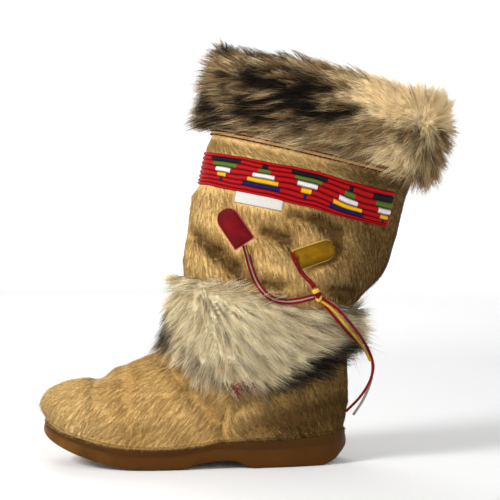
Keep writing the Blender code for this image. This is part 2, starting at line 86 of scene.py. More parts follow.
def quads(rows, columns, rows_close=False, columns_close=True):
    """The quads of a grid of points, as an array of four point numbers each."""
    r, c = np.meshgrid(np.arange(rows if rows_close else rows - 1),
                       np.arange(columns if columns_close else columns - 1), indexing="ij")
    on, here, above = (c + 1) % columns, r * columns, (r + 1) % rows * columns
    return np.stack([here + c, here + on, above + on, above + c], -1).reshape(-1, 4)


def new_finish(name, roughness, **sockets):
    """A material and its Principled shader, with the sockets that are the same all over set on it."""
    finish = bpy.data.materials.new(name)
    finish.use_nodes = True
    shader = finish.node_tree.nodes["Principled BSDF"]
    shader.inputs["Roughness"].default_value = roughness
    for socket, value in sockets.items():
        shader.inputs[socket.replace("_", " ")].default_value = value
    return finish, finish.node_tree, shader


def add(tree, kind, inputs=None, **settings):
    """A shader node. Its inputs, by name or number, are values or the outputs of other nodes."""
    made = tree.nodes.new("ShaderNode" + kind)
    for setting, value in settings.items():
        setattr(made, setting, value)
    for socket, value in (inputs or {}).items():
        if isinstance(value, bpy.types.NodeSocket):
            tree.links.new(value, made.inputs[socket])
        else:
            made.inputs[socket].default_value = value
    return made


def number(tree, name):
    """The value that a piece's own attribute has at each point."""
    return add(tree, "Attribute", attribute_name=name).outputs["Fac"]


def maths(tree, operation, first, second=0.0, clamped=False):
    """One operation on one or two values."""
    made = add(tree, "Math", {0: first, 1: second}, operation=operation, use_clamp=clamped)
    return made.outputs[0]


camera = placed("camera", bpy.data.cameras.new("camera"))
camera.data.lens = LENS
look_at(camera, VANTAGE, AIM)
bpy.context.scene.camera = camera
for name, box in SOFTBOXES.items():
    lamp = placed(name, bpy.data.lights.new(name, "AREA"))
    lamp.data.shape = "DISK"
    lamp.data.size = box["size"]
    lamp.data.energy = box["watts"]
    look_at(lamp, box["place"], AIM)

world = bpy.data.worlds.new("studio")
world.use_nodes = True
world.node_tree.nodes["Background"].inputs["Color"].default_value = (1.0, 1.0, 1.0, 1.0)
world.node_tree.nodes["Background"].inputs["Strength"].default_value = SKY_LIGHT
bpy.context.scene.world = world
bpy.context.scene.view_settings.view_transform = "Standard"

bend_up = np.linspace(0, math.pi / 2, SWEEP_RINGS)
floor_radius = np.append(FLOOR_INNER, FLOOR_RADIUS + SWEEP * np.sin(bend_up))
floor_height = np.append(0.0, SWEEP * (1 - np.cos(bend_up)))
floor_turn = turns(FLOOR_COLUMNS)
floor_points = np.stack(np.broadcast_arrays(
    floor_radius[:, None] * np.cos(floor_turn), floor_radius[:, None] * np.sin(floor_turn),
    floor_height[:, None],
), -1).reshape(-1, 3)
floor_faces = quads(SWEEP_RINGS + 1, FLOOR_COLUMNS)[:, ::-1].tolist() + [list(range(FLOOR_COLUMNS))]
floor_mesh = bpy.data.meshes.new("floor")
floor_mesh.from_pydata(floor_points.tolist(), [], floor_faces)
floor_mesh.shade_smooth()
far_out = np.repeat(np.clip((floor_radius - FLOOR_INNER) / GLOW_OVER, 0, 1), FLOOR_COLUMNS)
floor_mesh.attributes.new("far", "FLOAT", "POINT").data.foreach_set("value", far_out.astype(np.float32))
floor_finish, floor_tree, floor_shader = new_finish(
    "pale_floor", 0.9, Base_Color=(0.92, 0.92, 0.92, 1), Emission_Color=(1, 1, 1, 1),
)
floor_tree.links.new(maths(floor_tree, "MULTIPLY", number(floor_tree, "far"), GLOW),
                     floor_shader.inputs["Emission Strength"])
floor_mesh.materials.append(floor_finish)
placed("floor", floor_mesh)

# Upper
# A sock of tanned hide with its short golden hair left on, lined with pale fleece. It is cut as a
# vamp and a heel quarter that meet in a seam at the waist, and its slack shaft falls in soft folds.
MM = 0.001
HEEL_CENTRE = -55.0
WALL = 2.5
# The loops round the upper, from the sole's edge up: x and z in the side view at the front and at the
# back, how much each keeps of the sole line's dip and of the last's bend, and its half widths.
GIRDLE_COLUMNS = (
    "front_x", "front_z", "back_x", "back_z", "dip", "bend", "toe", "fore", "waist", "heel", "end",
)
GIRDLES = {
    "sole_line":   (-265.0, 37.4, -4.0, 28.6, 1.00, 1.0, 66, 54, 38, 46, 60),
    "toe_bulge":   (-269.5, 50.0, -1.0, 44.0, 0.80, 1.0, 66, 56, 39, 46, 59),
    "toe_cap":     (-263.5, 63.0, 0.5, 58.0, 0.55, 1.0, 55, 49, 39, 45, 58),
    "toe_top":     (-246.0, 72.5, 0.5, 71.0, 0.32, 1.0, 39, 42, 38, 44, 56),
    "vamp_low":    (-216.0, 77.5, 0.5, 83.0, 0.18, 1.0, 36, 41, 37.5, 42, 53),
    "vamp_mid":    (-197.0, 85.5, 0.5, 94.0, 0.08, 0.9, 38, 40, 37, 41, 51),
    "vamp_high":   (-173.0, 94.5, 1.0, 106.0, 0.0, 0.7, 39, 40, 38, 41, 49),
    "instep":      (-153.5, 109.0, 2.0, 118.0, 0.0, 0.5, 47, 42, 40, 42, 48),
    "ankle":       (-143.5, 130.0, 2.0, 129.0, 0.0, 0.2, 48, 44, 43, 43, 48),
    "tuck":        (-140.5, 147.0, 4.0, 137.0, 0.0, 0.0, 47, 46, 45, 45, 47),
    "slouch":      (-142.0, 158.0, 14.0, 149.0, 0.0, 0.0, 49, 49, 49, 48, 48),
    "roll":        (-144.0, 172.0, 31.0, 167.0, 0.0, 0.0, 51, 51, 52, 51, 49),
    "shaft_low":   (-143.0, 190.0, 37.0, 180.0, 0.0, 0.0, 51, 51, 51, 50, 49),
    "shaft_mid":   (-139.5, 214.0, 40.0, 191.0, 0.0, 0.0, 51, 50, 50, 50, 50),
    "shaft_bulge": (-135.5, 235.5, 43.0, 201.0, 0.0, 0.0, 52, 52, 52, 51, 51),
    "band_low":    (-130.5, 245.0, 44.5, 207.0, 0.0, 0.0, 52, 52, 52, 51, 51),
    "band_top":    (-124.0, 273.0, 51.5, 236.0, 0.0, 0.0, 52, 52, 52, 52, 52),
    "seam":        (-119.0, 290.5, 57.0, 249.5, 0.0, 0.0, 53, 53, 53, 53, 53),
    "collar":      (-107.0, 348.0, 76.0, 306.0, 0.0, 0.0, 54, 54, 54, 54, 54),
    "fur_top":     (-102.0, 374.0, 85.0, 333.0, 0.0, 0.0, 54, 54, 54, 54, 54),
}
# Where those half widths are, from the front to the back, and the level of each loop by its name.
SHARES = (0.0, 0.25, 0.6, 0.85, 1.0)
LEVEL = {name: float(i) for i, name in enumerate(GIRDLES)}
# The height of the upper's lower edge, and the bend of the left last seen from above, both by x.
SOLE_LINE = {
    -269: 38.9, -261: 35.3, -245: 29.2, -222: 23.2, -194: 18.8, -165: 18.0, -132: 20.5,
    -110: 23.3, -80: 23.9, -56: 24.4, -31: 25.8, -12: 27.7, 2: 29.2,
}
LEFT_CURVE = {-270: 9.0, -235: 7.0, -195: 2.5, -150: -2.0, -105: -4.0, -60: -1.0, -30: 0.0, 5: 0.0}

# The anklet's lower and upper edge as levels by degrees from the front; the hide shows outside them.
ANKLE_LOW = {0: 6.4, 30: 6.0, 57: 5.0, 88: 3.1, 107: 2.6, 125: 2.9, 142: 3.9, 165: 5.1, 180: 5.4}
ANKLE_HIGH = {0: 10.5, 30: 10.5, 57: 10.2, 88: 9.35, 107: 9.0, 125: 8.9, 142: 9.0, 165: 9.1, 180: 9.1}

# The folds, in the side view: a line from x, z to x, z, how far it lifts the face (a trough is
# negative), how wide it is, and its side: -1 the outer, 1 the inner, 0 both.
FOLDS = (
    (-133.4, 201.4, -117.9, 187.4, -4.4, 5.5, -1),
    (-117.5, 186.8, -102.0, 173.8, -4.8, 6.0, -1),
    (-101.4, 172.6, -89.8, 159.5, -3.2, 5.5, -1),
    (-76.7, 203.6, -61.6, 198.3, -5.2, 7.0, -1),
    (-55.7, 197.4, -50.2, 184.7, -2.8, 5.0, -1),
    (-54.7, 217.2, -33.3, 215.2, -3.4, 6.0, -1),
    (-29.4, 213.9, -16.6, 204.7, -3.8, 6.5, -1),
    (-13.5, 198.3, -15.0, 186.6, -2.8, 5.5, -1),
    (-18.6, 179.8, -38.1, 172.0, -3.0, 4.5, -1),
    (-76.1, 160.5, -62.5, 156.5, -4.0, 5.5, -1),
    (-16.6, 154.0, -3.2, 150.5, -4.2, 5.5, -1),
    (-83.4, 198.4, -67.4, 184.8, 2.6, 7.0, -1),
    (-66.4, 183.8, -49.8, 168.2, 2.2, 6.0, -1),
    (-141.2, 180.1, -120.8, 167.4, 1.4, 8.0, -1),
    (-28.3, 166.5, -13.6, 162.6, 2.2, 6.0, -1),
    (-88.8, 220.3, -63.5, 214.5, 1.2, 7.0, -1),
    (-90.0, 200.0, -50.0, 186.0, -3.4, 9.0, 1),
    (-120.0, 214.0, -96.0, 206.0, -2.6, 8.0, 1),
    (-84.0, 186.0, -56.0, 172.0, 2.4, 9.0, 1),
    (-30.0, 176.0, 10.0, 186.0, -3.0, 8.0, 1),
    (-60.0, 164.0, -20.0, 158.0, 2.0, 8.0, 1),
    (-219.1, 77.4, -220.5, 58.5, -1.5, 6.0, 0),
    (-203.3, 83.9, -203.4, 56.7, 1.0, 6.0, 0),
    (-190.1, 80.5, -192.2, 58.0, -1.4, 6.0, 0),
    (-172.0, 88.4, -170.3, 66.8, 1.0, 9.0, 0),
    (-155.5, 89.7, -140.7, 70.4, -1.8, 6.0, -1),
    (-140.1, 68.7, -114.4, 42.0, -1.6, 6.0, -1),
    (-99.5, 40.2, -54.7, 61.4, 2.2, 6.5, -1),
    (-54.7, 61.4, -9.8, 77.7, 2.0, 6.5, -1),
    (-87.9, 32.8, -11.4, 52.8, -1.0, 7.0, 0),
)
# The side seam at the waist, from the anklet down to the sole, by height, and its trough.
SIDE_SEAM = {18: -113.5, 27: -111.8, 40: -109.0, 52: -106.4, 66: -100.5, 90: -96.0}
SEAM_DEEP, SEAM_WIDE = -1.5, 2.6
# The hide is slightly uneven, by this much at this size, and smooth above these levels for the band.
UNEVEN, UNEVEN_SIZE = 0.55, 34.0
SMOOTH_FROM, SMOOTH_TO = 13.9, 14.9
UPPER_COLUMNS, OUTER_ROWS, INNER_ROWS = 180, 112, 46


def through(knots, values, at):
    """A smooth curve through the values at the knots that never overshoots them: a cubic between two
    knots, its slope at each knot the harmonic mean of the rises beside it, or 0 where they turn."""
    knots, at = np.asarray(knots, float), np.asarray(at, float)
    flat = at.ravel()
    values = np.asarray(values, float).reshape(len(knots), -1) * np.ones(flat.size)
    rise = np.diff(values, axis=0) / np.diff(knots)[:, None]
    same = rise[1:] * rise[:-1] > 0
    total = np.where(same, rise[1:] + rise[:-1], 1)
    inner = np.where(same, 2 * rise[1:] * rise[:-1] / total, 0)
    slope = np.vstack([rise[:1], inner, rise[-1:]])
    cell = np.clip(np.searchsorted(knots, flat, side="right") - 1, 0, len(knots) - 2)
    one = np.arange(flat.size)
    width = knots[cell + 1] - knots[cell]
    t = (flat - knots[cell]) / width
    low, high = values[cell, one], values[cell + 1, one]
    low_slope, high_slope = slope[cell, one] * width, slope[cell + 1, one] * width
    curve = low + t * low_slope + t * t * (3 * (high - low) - 2 * low_slope - high_slope)
    curve = curve + t ** 3 * (low_slope + high_slope - 2 * (high - low))
    return curve.reshape(at.shape)


def along(table, station):
    """The smooth curve through a table of values by station."""
    return through(list(table), list(table.values()), station)


def from_front(theta):
    """Degrees from the front, the same on both sides: 0 at the toe, 180 at the heel."""
    turned = np.mod(theta, 2 * math.pi)
    return np.degrees(np.minimum(turned, 2 * math.pi - turned))


def bare_skin(theta, level):
    """The upper's plain face: theta runs 0 front, 90 outer side, 180 back, 270 degrees inner side.

    x = front + (back - front) (1 - cos theta) / 2, y = the last's curve - sin theta times the width,
    z = the chord from front to back plus the kept share of the sole line's curve.
    """
    theta, level = np.broadcast_arrays(np.asarray(theta, float), np.asarray(level, float))
    rows = np.array(list(GIRDLES.values()), float)
    at = {name: through(range(len(rows)), rows[:, i], level) for i, name in enumerate(GIRDLE_COLUMNS)}
    share = (1 - np.cos(theta)) / 2
    x = at["front_x"] + (at["back_x"] - at["front_x"]) * share
    first = GIRDLES["sole_line"]
    straight = first[1] + (first[3] - first[1]) * (x - first[0]) / (first[2] - first[0])
    z = at["front_z"] + (at["back_z"] - at["front_z"]) * share + at["dip"] * (along(SOLE_LINE, x) - straight)
    widths = np.array([at[name].ravel() for name in GIRDLE_COLUMNS[6:]])
    y = at["bend"] * along(LEFT_CURVE, x) - np.sin(theta) * through(SHARES, widths, share)
    return np.stack([x, y, z], axis=-1)


def unit(vectors):
    """Each vector divided by its length."""
    return vectors / np.maximum(np.linalg.norm(vectors, axis=-1, keepdims=True), 1e-9)


def skin_frame(theta, level):
    """The upper's plain face with its outward normal and its upward tangent, from small steps round
    and up: the normal is their cross product."""
    step = 0.01
    level = np.asarray(level, float)
    here = bare_skin(theta, level)
    round_it = bare_skin(theta + step, level) - bare_skin(theta - step, level)
    top = len(GIRDLES) - 1
    up = bare_skin(theta, np.minimum(level + step, top)) - bare_skin(theta, np.maximum(level - step, 0))
    return here, unit(np.cross(round_it, up)), unit(up)


def skin(theta, level, out=0.0, rise=0.0):
    """Points that stand out of the plain face by out, and up along it by rise."""
    here, normal, up = skin_frame(theta, level)
    return here + normal * np.asarray(out)[..., None] + up * np.asarray(rise)[..., None]


def waves(points, size, seed):
    """A smooth random value for each point, about -1 to 1: the sum of twelve plane waves of about
    that size."""
    draw = np.random.default_rng(seed)
    ways = unit(draw.normal(size=(12, 3))) / (size * draw.uniform(0.7, 1.6, (12, 1)))
    phase = draw.uniform(0, 2 * math.pi, 12)
    return np.sin(2 * math.pi * points @ ways.T + phase).sum(-1) / math.sqrt(12)


def smooth_step(value, low, high):
    """0 below low, 1 above high, and 3 t^2 - 2 t^3 between them."""
    t = np.clip((value - low) / (high - low), 0, 1)
    return t * t * (3 - 2 * t)


def side_seam(z):
    """The side seam's x at a height, the nearer end's beyond its ends."""
    return along(SIDE_SEAM, np.clip(z, min(SIDE_SEAM), max(SIDE_SEAM)))


def folds(points):
    """How far the folds lift the face: each fold's lift times exp(-(d / width)^2), d being the
    distance to its line in the side view, and the seam's trough in the same way."""
    lift = np.zeros(points.shape[:-1])
    for x0, z0, x1, z1, high, wide, side in FOLDS:
        run = np.array([x1 - x0, z1 - z0])
        off = points[..., [0, 2]] - (x0, z0)
        share = np.clip(off @ run / (run @ run), 0, 1)
        apart = np.linalg.norm(off - share[..., None] * run, axis=-1)
        here = 1.0 if side == 0 else smooth_step(side * points[..., 1], -8, 12)
        lift += high * here * np.exp(-(apart / wide) ** 2)
    apart = points[..., 0] - side_seam(points[..., 2])
    below = smooth_step(points[..., 2], 95, 80)
    return lift + SEAM_DEEP * below * np.exp(-(apart / SEAM_WIDE) ** 2)


def hide(theta, level, out=0.0):
    """The upper's real face: the plain one with its folds and a slight unevenness, both none at the band."""
    here, normal, _ = skin_frame(theta, level)
    flat = 1 - smooth_step(np.asarray(level, float), SMOOTH_FROM, SMOOTH_TO)
    lift = (folds(here) + UNEVEN * waves(here, UNEVEN_SIZE, 5)) * flat
    return here + normal * (lift + out)[..., None]


def to_metres(points):
    """Points in the frame, from millimetres measured from the back of the heel."""
    return (np.asarray(points, float) - (HEEL_CENTRE, 0, 0)) * MM


def new_piece(name, points, faces, finishes, stands_for=(), picked=None, numbers=None, uv=None):
    """A finished piece from its points in millimetres: faces is a list of arrays of point numbers,
    picked the finish of each face, numbers its values for each point, and uv one pair a corner."""
    mesh = bpy.data.meshes.new(name)
    points = to_metres(points).reshape(-1, 3)
    sizes = np.concatenate([np.full(len(f), f.shape[1]) for f in faces])
    corners = np.concatenate([f.ravel() for f in faces])
    mesh.vertices.add(len(points))
    mesh.vertices.foreach_set("co", points.ravel())
    mesh.loops.add(len(corners))
    mesh.loops.foreach_set("vertex_index", corners.astype(np.int32))
    mesh.polygons.add(len(sizes))
    mesh.polygons.foreach_set("loop_start", np.concatenate([[0], np.cumsum(sizes)[:-1]]).astype(np.int32))
    mesh.polygons.foreach_set("use_smooth", np.ones(len(sizes), bool))
    for finish in finishes:
        mesh.materials.append(finish)
    if picked is not None:
        mesh.polygons.foreach_set("material_index", np.asarray(picked, np.int32))
    for key, values in (numbers or {}).items():
        values = np.asarray(values, np.float32)
        kind, field = ("FLOAT", "value") if values.ndim == 1 else ("FLOAT_VECTOR", "vector")
        mesh.attributes.new(key, kind, "POINT").data.foreach_set(field, values.ravel())
    if uv is not None:
        mesh.uv_layers.new(name="OFBake").data.foreach_set("uv", np.asarray(uv, np.float32).ravel())
    mesh.update(calc_edges=True)
    mesh.validate()
    piece = placed(name, mesh)
    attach(piece, "root")
    if stands_for:
        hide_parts(*stands_for)
    return piece


def linear(red, green, blue):
    """A colour as the eye picks it, 0 to 255, as the linear values that a shader takes."""
    picked = np.array([red, green, blue]) / 255
    light = np.where(picked <= 0.04045, picked / 12.92, ((picked + 0.055) / 1.055) ** 2.4)
    return (*(float(v) for v in light), 1.0)


def shade_of(colour, share):
    """A colour with its three values multiplied by a share, up to 255."""
    return linear(*(min(share * v, 255) for v in colour))


def mix(tree, share, first, second, blend="MIX"):
    """Two colours mixed."""
    made = add(tree, "Mix", {0: share, 6: first, 7: second}, data_type="RGBA", blend_type=blend)
    return made.outputs[2]


def spread(tree, value, low, high, start=0.0, end=1.0):
    """A value's range from low to high, taken to start to end."""
    return add(tree, "MapRange", {"Value": value, 1: low, 2: high, 3: start, 4: end}).outputs["Result"]


def noise(tree, scale, detail, place=None, roughness=0.5):
    """Noise on the object's own coordinates, or on another place."""
    if place is None:
        place = add(tree, "TexCoord").outputs["Object"]
    values = {"Vector": place, "Scale": scale, "Detail": detail, "Roughness": roughness}
    return add(tree, "TexNoise", values).outputs["Fac"]


def bump(tree, shader, height, strength, distance):
    """Relief on a finish, from a height."""
    made = add(tree, "Bump", {"Height": height, "Strength": strength, "Distance": distance})
    tree.links.new(made.outputs["Normal"], shader.inputs["Normal"])


def new_group(name, inputs, outputs):
    """A shader node group with its sockets, each a name and a kind, and its two end nodes."""
    group = bpy.data.node_groups.new(name, "ShaderNodeTree")
    for ends, way in ((inputs, "INPUT"), (outputs, "OUTPUT")):
        for socket, kind in ends.items():
            group.interface.new_socket(name=socket, in_out=way, socket_type="NodeSocket" + kind)
    return group, group.nodes.new("NodeGroupInput").outputs, group.nodes.new("NodeGroupOutput").inputs


def grouped(name, group, values, roughness, relief=None, **sockets):
    """A finish that takes its colour from a node group with its own values, and its relief, where it
    has one, with a strength and a depth."""
    finish, tree, shader = new_finish(name, roughness, **sockets)
    told = add(tree, "Group", values, node_tree=group).outputs
    tree.links.new(told["Color"], shader.inputs["Base Color"])
    if relief:
        bump(tree, shader, told["Height"], *relief)
    return finish


# Hair and the skin under it take their colour from three numbers at each point: how dark, how pale,
# and how far along the hair. A fine noise on where the hair is rooted tells lock from lock. Towards its
# root a hair is painted darker, down to its Root Shade: a painted shade for the depth of the coat.
coat_group, coat_in, coat_out = new_group(
    "coat_colour",
    {"Mid": "Color", "Pale": "Color", "Dark": "Color", "Lock Size": "Float", "Root Shade": "Float"},
    {"Color": "Color"},
)
coat = add(coat_group, "Attribute", attribute_name="coat").outputs["Vector"]
rooted = add(coat_group, "Attribute", attribute_name="root").outputs["Vector"]
parts = add(coat_group, "SeparateXYZ", {0: coat}).outputs
lock = noise(coat_group, coat_in["Lock Size"], 2.0, rooted, 0.6)
tell = spread(coat_group, lock, 0.3, 0.7, -0.16, 0.16)
paler = maths(coat_group, "ADD", parts["Y"], tell, clamped=True)
darker = maths(coat_group, "SUBTRACT", parts["X"], tell, clamped=True)
body_colour = mix(coat_group, paler, coat_in["Mid"], coat_in["Pale"])
told_colour = mix(coat_group, darker, body_colour, coat_in["Dark"])
# Painted shade: darker towards the root, down to Root Shade, and less so the paler the hair.
tip_light = spread(coat_group, parts["Z"], 0.0, 0.7, coat_in["Root Shade"])
root_light = maths(coat_group, "MAXIMUM", tip_light, maths(coat_group, "MULTIPLY", paler, 0.94))
shade = add(coat_group, "CombineColor", {0: root_light, 1: root_light, 2: root_light}).outputs[0]
coat_group.links.new(mix(coat_group, 1.0, told_colour, shade, "MULTIPLY"), coat_out["Color"])


def new_coat(name, mid, pale, dark, lock_size, root_shade, roughness=0.6):
    """A hair finish of three colours."""
    values = {"Mid": mid, "Pale": pale, "Dark": dark, "Lock Size": lock_size, "Root Shade": root_shade}
    return grouped(name, coat_group, values, roughness, Specular_IOR_Level=0.1)


HIDE_COLOURS = {"mid": linear(192, 150, 86), "pale": linear(236, 204, 140), "dark": linear(80, 55, 20)}
hide_skin = new_coat("hide_skin", **HIDE_COLOURS, lock_size=420.0, root_shade=0.95)
hide_hair = new_coat("hide_hair", **HIDE_COLOURS, lock_size=330.0, root_shade=0.86)

# Fleece, felt and woven cloth are fibres in two shades of one colour, mixed by a noise of their size.
fibre_group, fibre_in, fibre_out = new_group(
    "matted_fibre", {"Low": "Color", "High": "Color", "Scale": "Float", "Detail": "Float"},
    {"Color": "Color", "Height": "Float"},
)
fibre = noise(fibre_group, fibre_in["Scale"], fibre_in["Detail"])
fibre_group.links.new(mix(fibre_group, fibre, fibre_in["Low"], fibre_in["High"]), fibre_out["Color"])
fibre_group.links.new(fibre, fibre_out["Height"])
FLEECE = {"Low": linear(196, 178, 148), "High": linear(232, 220, 196), "Scale": 420.0, "Detail": 4.0}
fleece = grouped("fleece_lining", fibre_group, FLEECE, 0.95, (0.8, 0.0015), Sheen_Weight=0.3)


def in_view(x, z):
    """Ways in the side view, from their parts along x and z."""
    return np.stack(np.broadcast_arrays(x, 0.0, z), -1)


def wander(points, size, seed):
    """Three smooth random values for each point, for a way that wanders slowly."""
    return np.stack([waves(points, size, seed + k) for k in range(3)], -1)


def hide_tone_and_painted_light(points):
    """How dark and how pale the hide is: painted shade in the troughs, close under the anklet, down the
    shaft's back and on the heel quarter; painted light on the ridges, the toe and the shaft's front;
    softly mottled, its own tone."""
    lift = folds(points)
    x, z = points[..., 0], points[..., 2]
    # Painted shade on the heel quarter, under the anklet, and down the shaft's back, the side away from the
    # key light.
    quarter = 0.45 * smooth_step(x, -112, -98) + 0.55 * smooth_step(x, -104, -50)
    quarter = quarter * smooth_step(z, 110, 90)
    rear = smooth_step(x, -50, 20) * smooth_step(z, 120, 150)
    anklet = 1 - smooth_step(np.hypot(x + 132, z - 166), 74, 92)
    # Painted shade in the troughs and below the anklet, and less of it on the quarter's ridges.
    dark = 0.23 * np.clip(-lift, 0, 4) - 0.12 * np.clip(lift, 0, 3) * quarter
    dark = dark + 0.84 * quarter + 0.82 * rear + 0.3 * anklet * smooth_step(z, 112, 100)
    # Painted light on the ridges and at the toe; the waves mottle the hide's own tone.
    pale = 0.2 + 0.08 * lift + 0.1 * waves(points, 30.0, 12) + 0.42 * smooth_step(x, -200, -245)
    pale = pale + 0.1 * smooth_step(z + 0.23 * (x + 120), 262, 270)
    # Painted light up the shaft's front, on the side the key light falls on.
    pale = pale + 0.22 * smooth_step(x, -104, -138) * smooth_step(z, 140, 160)
    return np.clip(dark + 0.05 * waves(points, 20.0, 11), 0, 1), np.clip(pale * (1 - 0.7 * quarter), 0, 1)


def coat_numbers(dark, pale, hair_share):
    """The three numbers of a coat for each point."""
    return np.stack(np.broadcast_arrays(dark, pale, hair_share), -1).reshape(-1, 3)


upper_theta = turns(UPPER_COLUMNS)
outer_levels = np.linspace(0, LEVEL["collar"], OUTER_ROWS)
inner_levels = np.linspace(LEVEL["collar"], 0, INNER_ROWS)
outer_face = hide(upper_theta[None, :], outer_levels[:, None])
inner_face = hide(upper_theta[None, :], inner_levels[:, None], -WALL)
inner_face[-1, :, 2] = outer_face[0, :, 2]
upper_points = np.concatenate([outer_face, inner_face])
upper_dark, upper_pale = hide_tone_and_painted_light(upper_points)
# The skin under the hair is painted a little darker and shaded as at the hairs' roots: a painted shade for
# the depth of the coat.
new_piece(
    "hide_upper", upper_points, [quads(OUTER_ROWS + INNER_ROWS, UPPER_COLUMNS, rows_close=True)],
    [hide_skin, fleece], ["upper"],
    picked=np.repeat(np.arange(OUTER_ROWS + INNER_ROWS) >= OUTER_ROWS, UPPER_COLUMNS),
    numbers={"coat": coat_numbers(upper_dark + 0.08, upper_pale, 0.3),
             "root": upper_points.reshape(-1, 3) * MM},
)

# Short hair of the hide
# The hide's own hair, 6 to 9 mm long, lies flat: down the shaft and a little backwards, and on the
# foot down and away from the side seam. It overhangs the sole's edge in a ragged line.
SHAFT_HAIRS, STRIP_HAIRS, FOOT_HAIRS = 34000, 7600, 37000
HIDE_HAIR_LONG, HIDE_HAIR_THICK, HIDE_HAIR_LIFT, HIDE_HAIR_SUNK = 8.0, 0.32, 0.05, 0.12
HIDE_LOCK, HIDE_LOCK_WIDE = 3, 0.4
# The share of single hairs painted darker, a painted shade for the thin dark gaps between hairs, and how much
# darker they are.
GAP_SHADE_SHARE, GAP_SHADE = 0.17, 0.42
# The level at which the foot's hair starts, how far the hair keeps from the label and the tabs, and
# by what share of its thickness a hair narrows towards its tip.
FOOT_START, PATCH_MARGIN, TAPER = 0.36, 0.5, 0.75
# The lowest hairs stand out over the sole's edge: how many, how long, from which level and how far up.
FRINGE_HAIRS, FRINGE_HAIR_LONG, FRINGE_FROM, FRINGE_DEEP = 4200, 4.8, 0.06, 0.09


def scatter(face, count, seed, columns=120, rows=60):
    """Places spread evenly over a face: its grid's cells taken in turn by area, at random in each."""
    draw = np.random.default_rng(seed)
    rounds, ups = np.linspace(0, 2 * math.pi, columns + 1), np.linspace(0, 1, rows + 1)
    p = face(*np.meshgrid(rounds, ups, indexing="ij"))
    area = np.linalg.norm(np.cross(p[1:, :-1] - p[:-1, :-1], p[:-1, 1:] - p[:-1, :-1]), axis=-1).ravel()
    turn_taken = (np.arange(count) + draw.random(count)) / count * area.sum()
    column, row = np.divmod(np.minimum(np.searchsorted(np.cumsum(area), turn_taken), area.size - 1), rows)
    return (column + draw.random(count)) * 2 * math.pi / columns, (row + draw.random(count)) / rows


def face_frame(face, theta, v):
    """Points of a face with their outward normals, from small steps along both of its parameters."""
    step = 0.004
    round_it = face(theta + step, v) - face(theta - step, v)
    up = face(theta, np.minimum(v + step, 1)) - face(theta, np.maximum(v - step, 0))
    return face(theta, v), unit(np.cross(round_it, up))


def laid(flow, normal, lift, stand=0.6):
    """The way a hair points: the flow pressed flat on the face and raised from it by lift, and by the
    share stand of what the flow points outwards."""
    outward = (flow * normal).sum(-1, keepdims=True)
    flat = flow - outward * normal
    return unit(flat + normal * (np.asarray(lift)[..., None] + stand * np.maximum(outward, 0)))


def hairs(name, root, way, bend, length, thick, dark, pale, finish, rings):
    """Hairs as closed needles with three sides. A hair's middle line is root + length (t way +
    t^2 bend). At each ring, t = 0, 1 / rings and so on, a triangle narrowing with t stands across
    it, and at t = 1 the sides meet in a point."""
    count = len(root)
    draw = np.random.default_rng(len(name) + count)
    side = unit(np.cross(way, draw.normal(size=(count, 3))))
    other = np.cross(way, side)
    t = np.arange(rings + 1) / rings
    gone = t[:, None] * way[:, None] + (t ** 2)[:, None] * bend[:, None]
    line = root[:, None] + length[:, None, None] * gone
    corner = turns(3)
    across = side[:, None] * np.cos(corner)[:, None] + other[:, None] * np.sin(corner)[:, None]
    half = thick[:, None] / 2 * (1 - TAPER * t[None, :-1])
    rims = line[:, :-1, None] + half[..., None, None] * across[:, None]
    points = np.concatenate([rims.reshape(count, -1, 3), line[:, -1:]], axis=1)
    each = points.shape[1]
    k, first = np.arange(3), 3 * np.arange(rings - 1)[:, None]
    on, last = (k + 1) % 3, 3 * (rings - 1)
    walls = np.stack([first + k, first + on, first + 3 + on, first + 3 + k], -1).reshape(-1, 4)
    ends = np.concatenate([np.stack([last + k, last + on, np.full(3, each - 1)], -1), [[0, 2, 1]]])
    start = (np.arange(count) * each)[:, None, None]
    faces = [(walls + start).reshape(-1, 4), (ends + start).reshape(-1, 3)]
    cells = math.ceil(math.sqrt(count))
    cell = np.stack(np.divmod(np.arange(count), cells)[::-1], -1)
    wall_u = np.stack([k, k + 1, k + 1, k], -1) / 3
    wall_v = np.stack([t[:-2], t[:-2], t[1:-1], t[1:-1]], -1)[:, None]
    wall_uv = np.stack(np.broadcast_arrays(wall_u, wall_v), -1).reshape(-1, 4, 2)
    end_uv = np.stack([np.stack([k, k + 1, k + 0.5], -1) / 3, np.tile([t[-2], t[-2], 1.0], (3, 1))], -1)
    end_uv = np.concatenate([end_uv, [[[0.4, 0.0], [0.6, 0.0], [0.5, 0.05]]]])
    uv = [((cell[:, None, None] + 0.1 + 0.8 * part) / cells).reshape(-1, 2) for part in (wall_uv, end_uv)]
    share = np.append(np.repeat(t[:-1], 3), 1.0)
    numbers = {
        "coat": coat_numbers(dark[:, None], pale[:, None], share[None, :]),
        "root": np.repeat(root * MM, each, axis=0),
    }
    return new_piece(name, points, faces, [finish], numbers=numbers, uv=np.concatenate(uv))


def shaft_face(theta, v):
    """The hide from the anklet's upper edge to the band, and at the back, which has no band, higher."""
    low = along(ANKLE_HIGH, from_front(theta)) - 0.5
    behind = smooth_step(from_front(theta), 146.5, 148.0)
    high = LEVEL["band_low"] + 0.1 + (LEVEL["band_top"] - LEVEL["band_low"]) * behind
    return hide(theta, low + (high - low) * v)


def strip_face(theta, v):
    """The strip of hide between the band and the cuff."""
    return hide(theta, LEVEL["band_top"] + 0.26 + (LEVEL["seam"] - LEVEL["band_top"] - 0.46) * v)


def foot_face(theta, v):
    """The hide from the sole's edge to the anklet's lower edge."""
    high = along(ANKLE_LOW, from_front(theta)) + 0.7
    return hide(theta, FOOT_START + (high - FOOT_START) * v ** 0.8)


def fringe_face(theta, v):
    """The hide's lowest rim, at the sole's edge."""
    return hide(theta, FRINGE_FROM + FRINGE_DEEP * v)


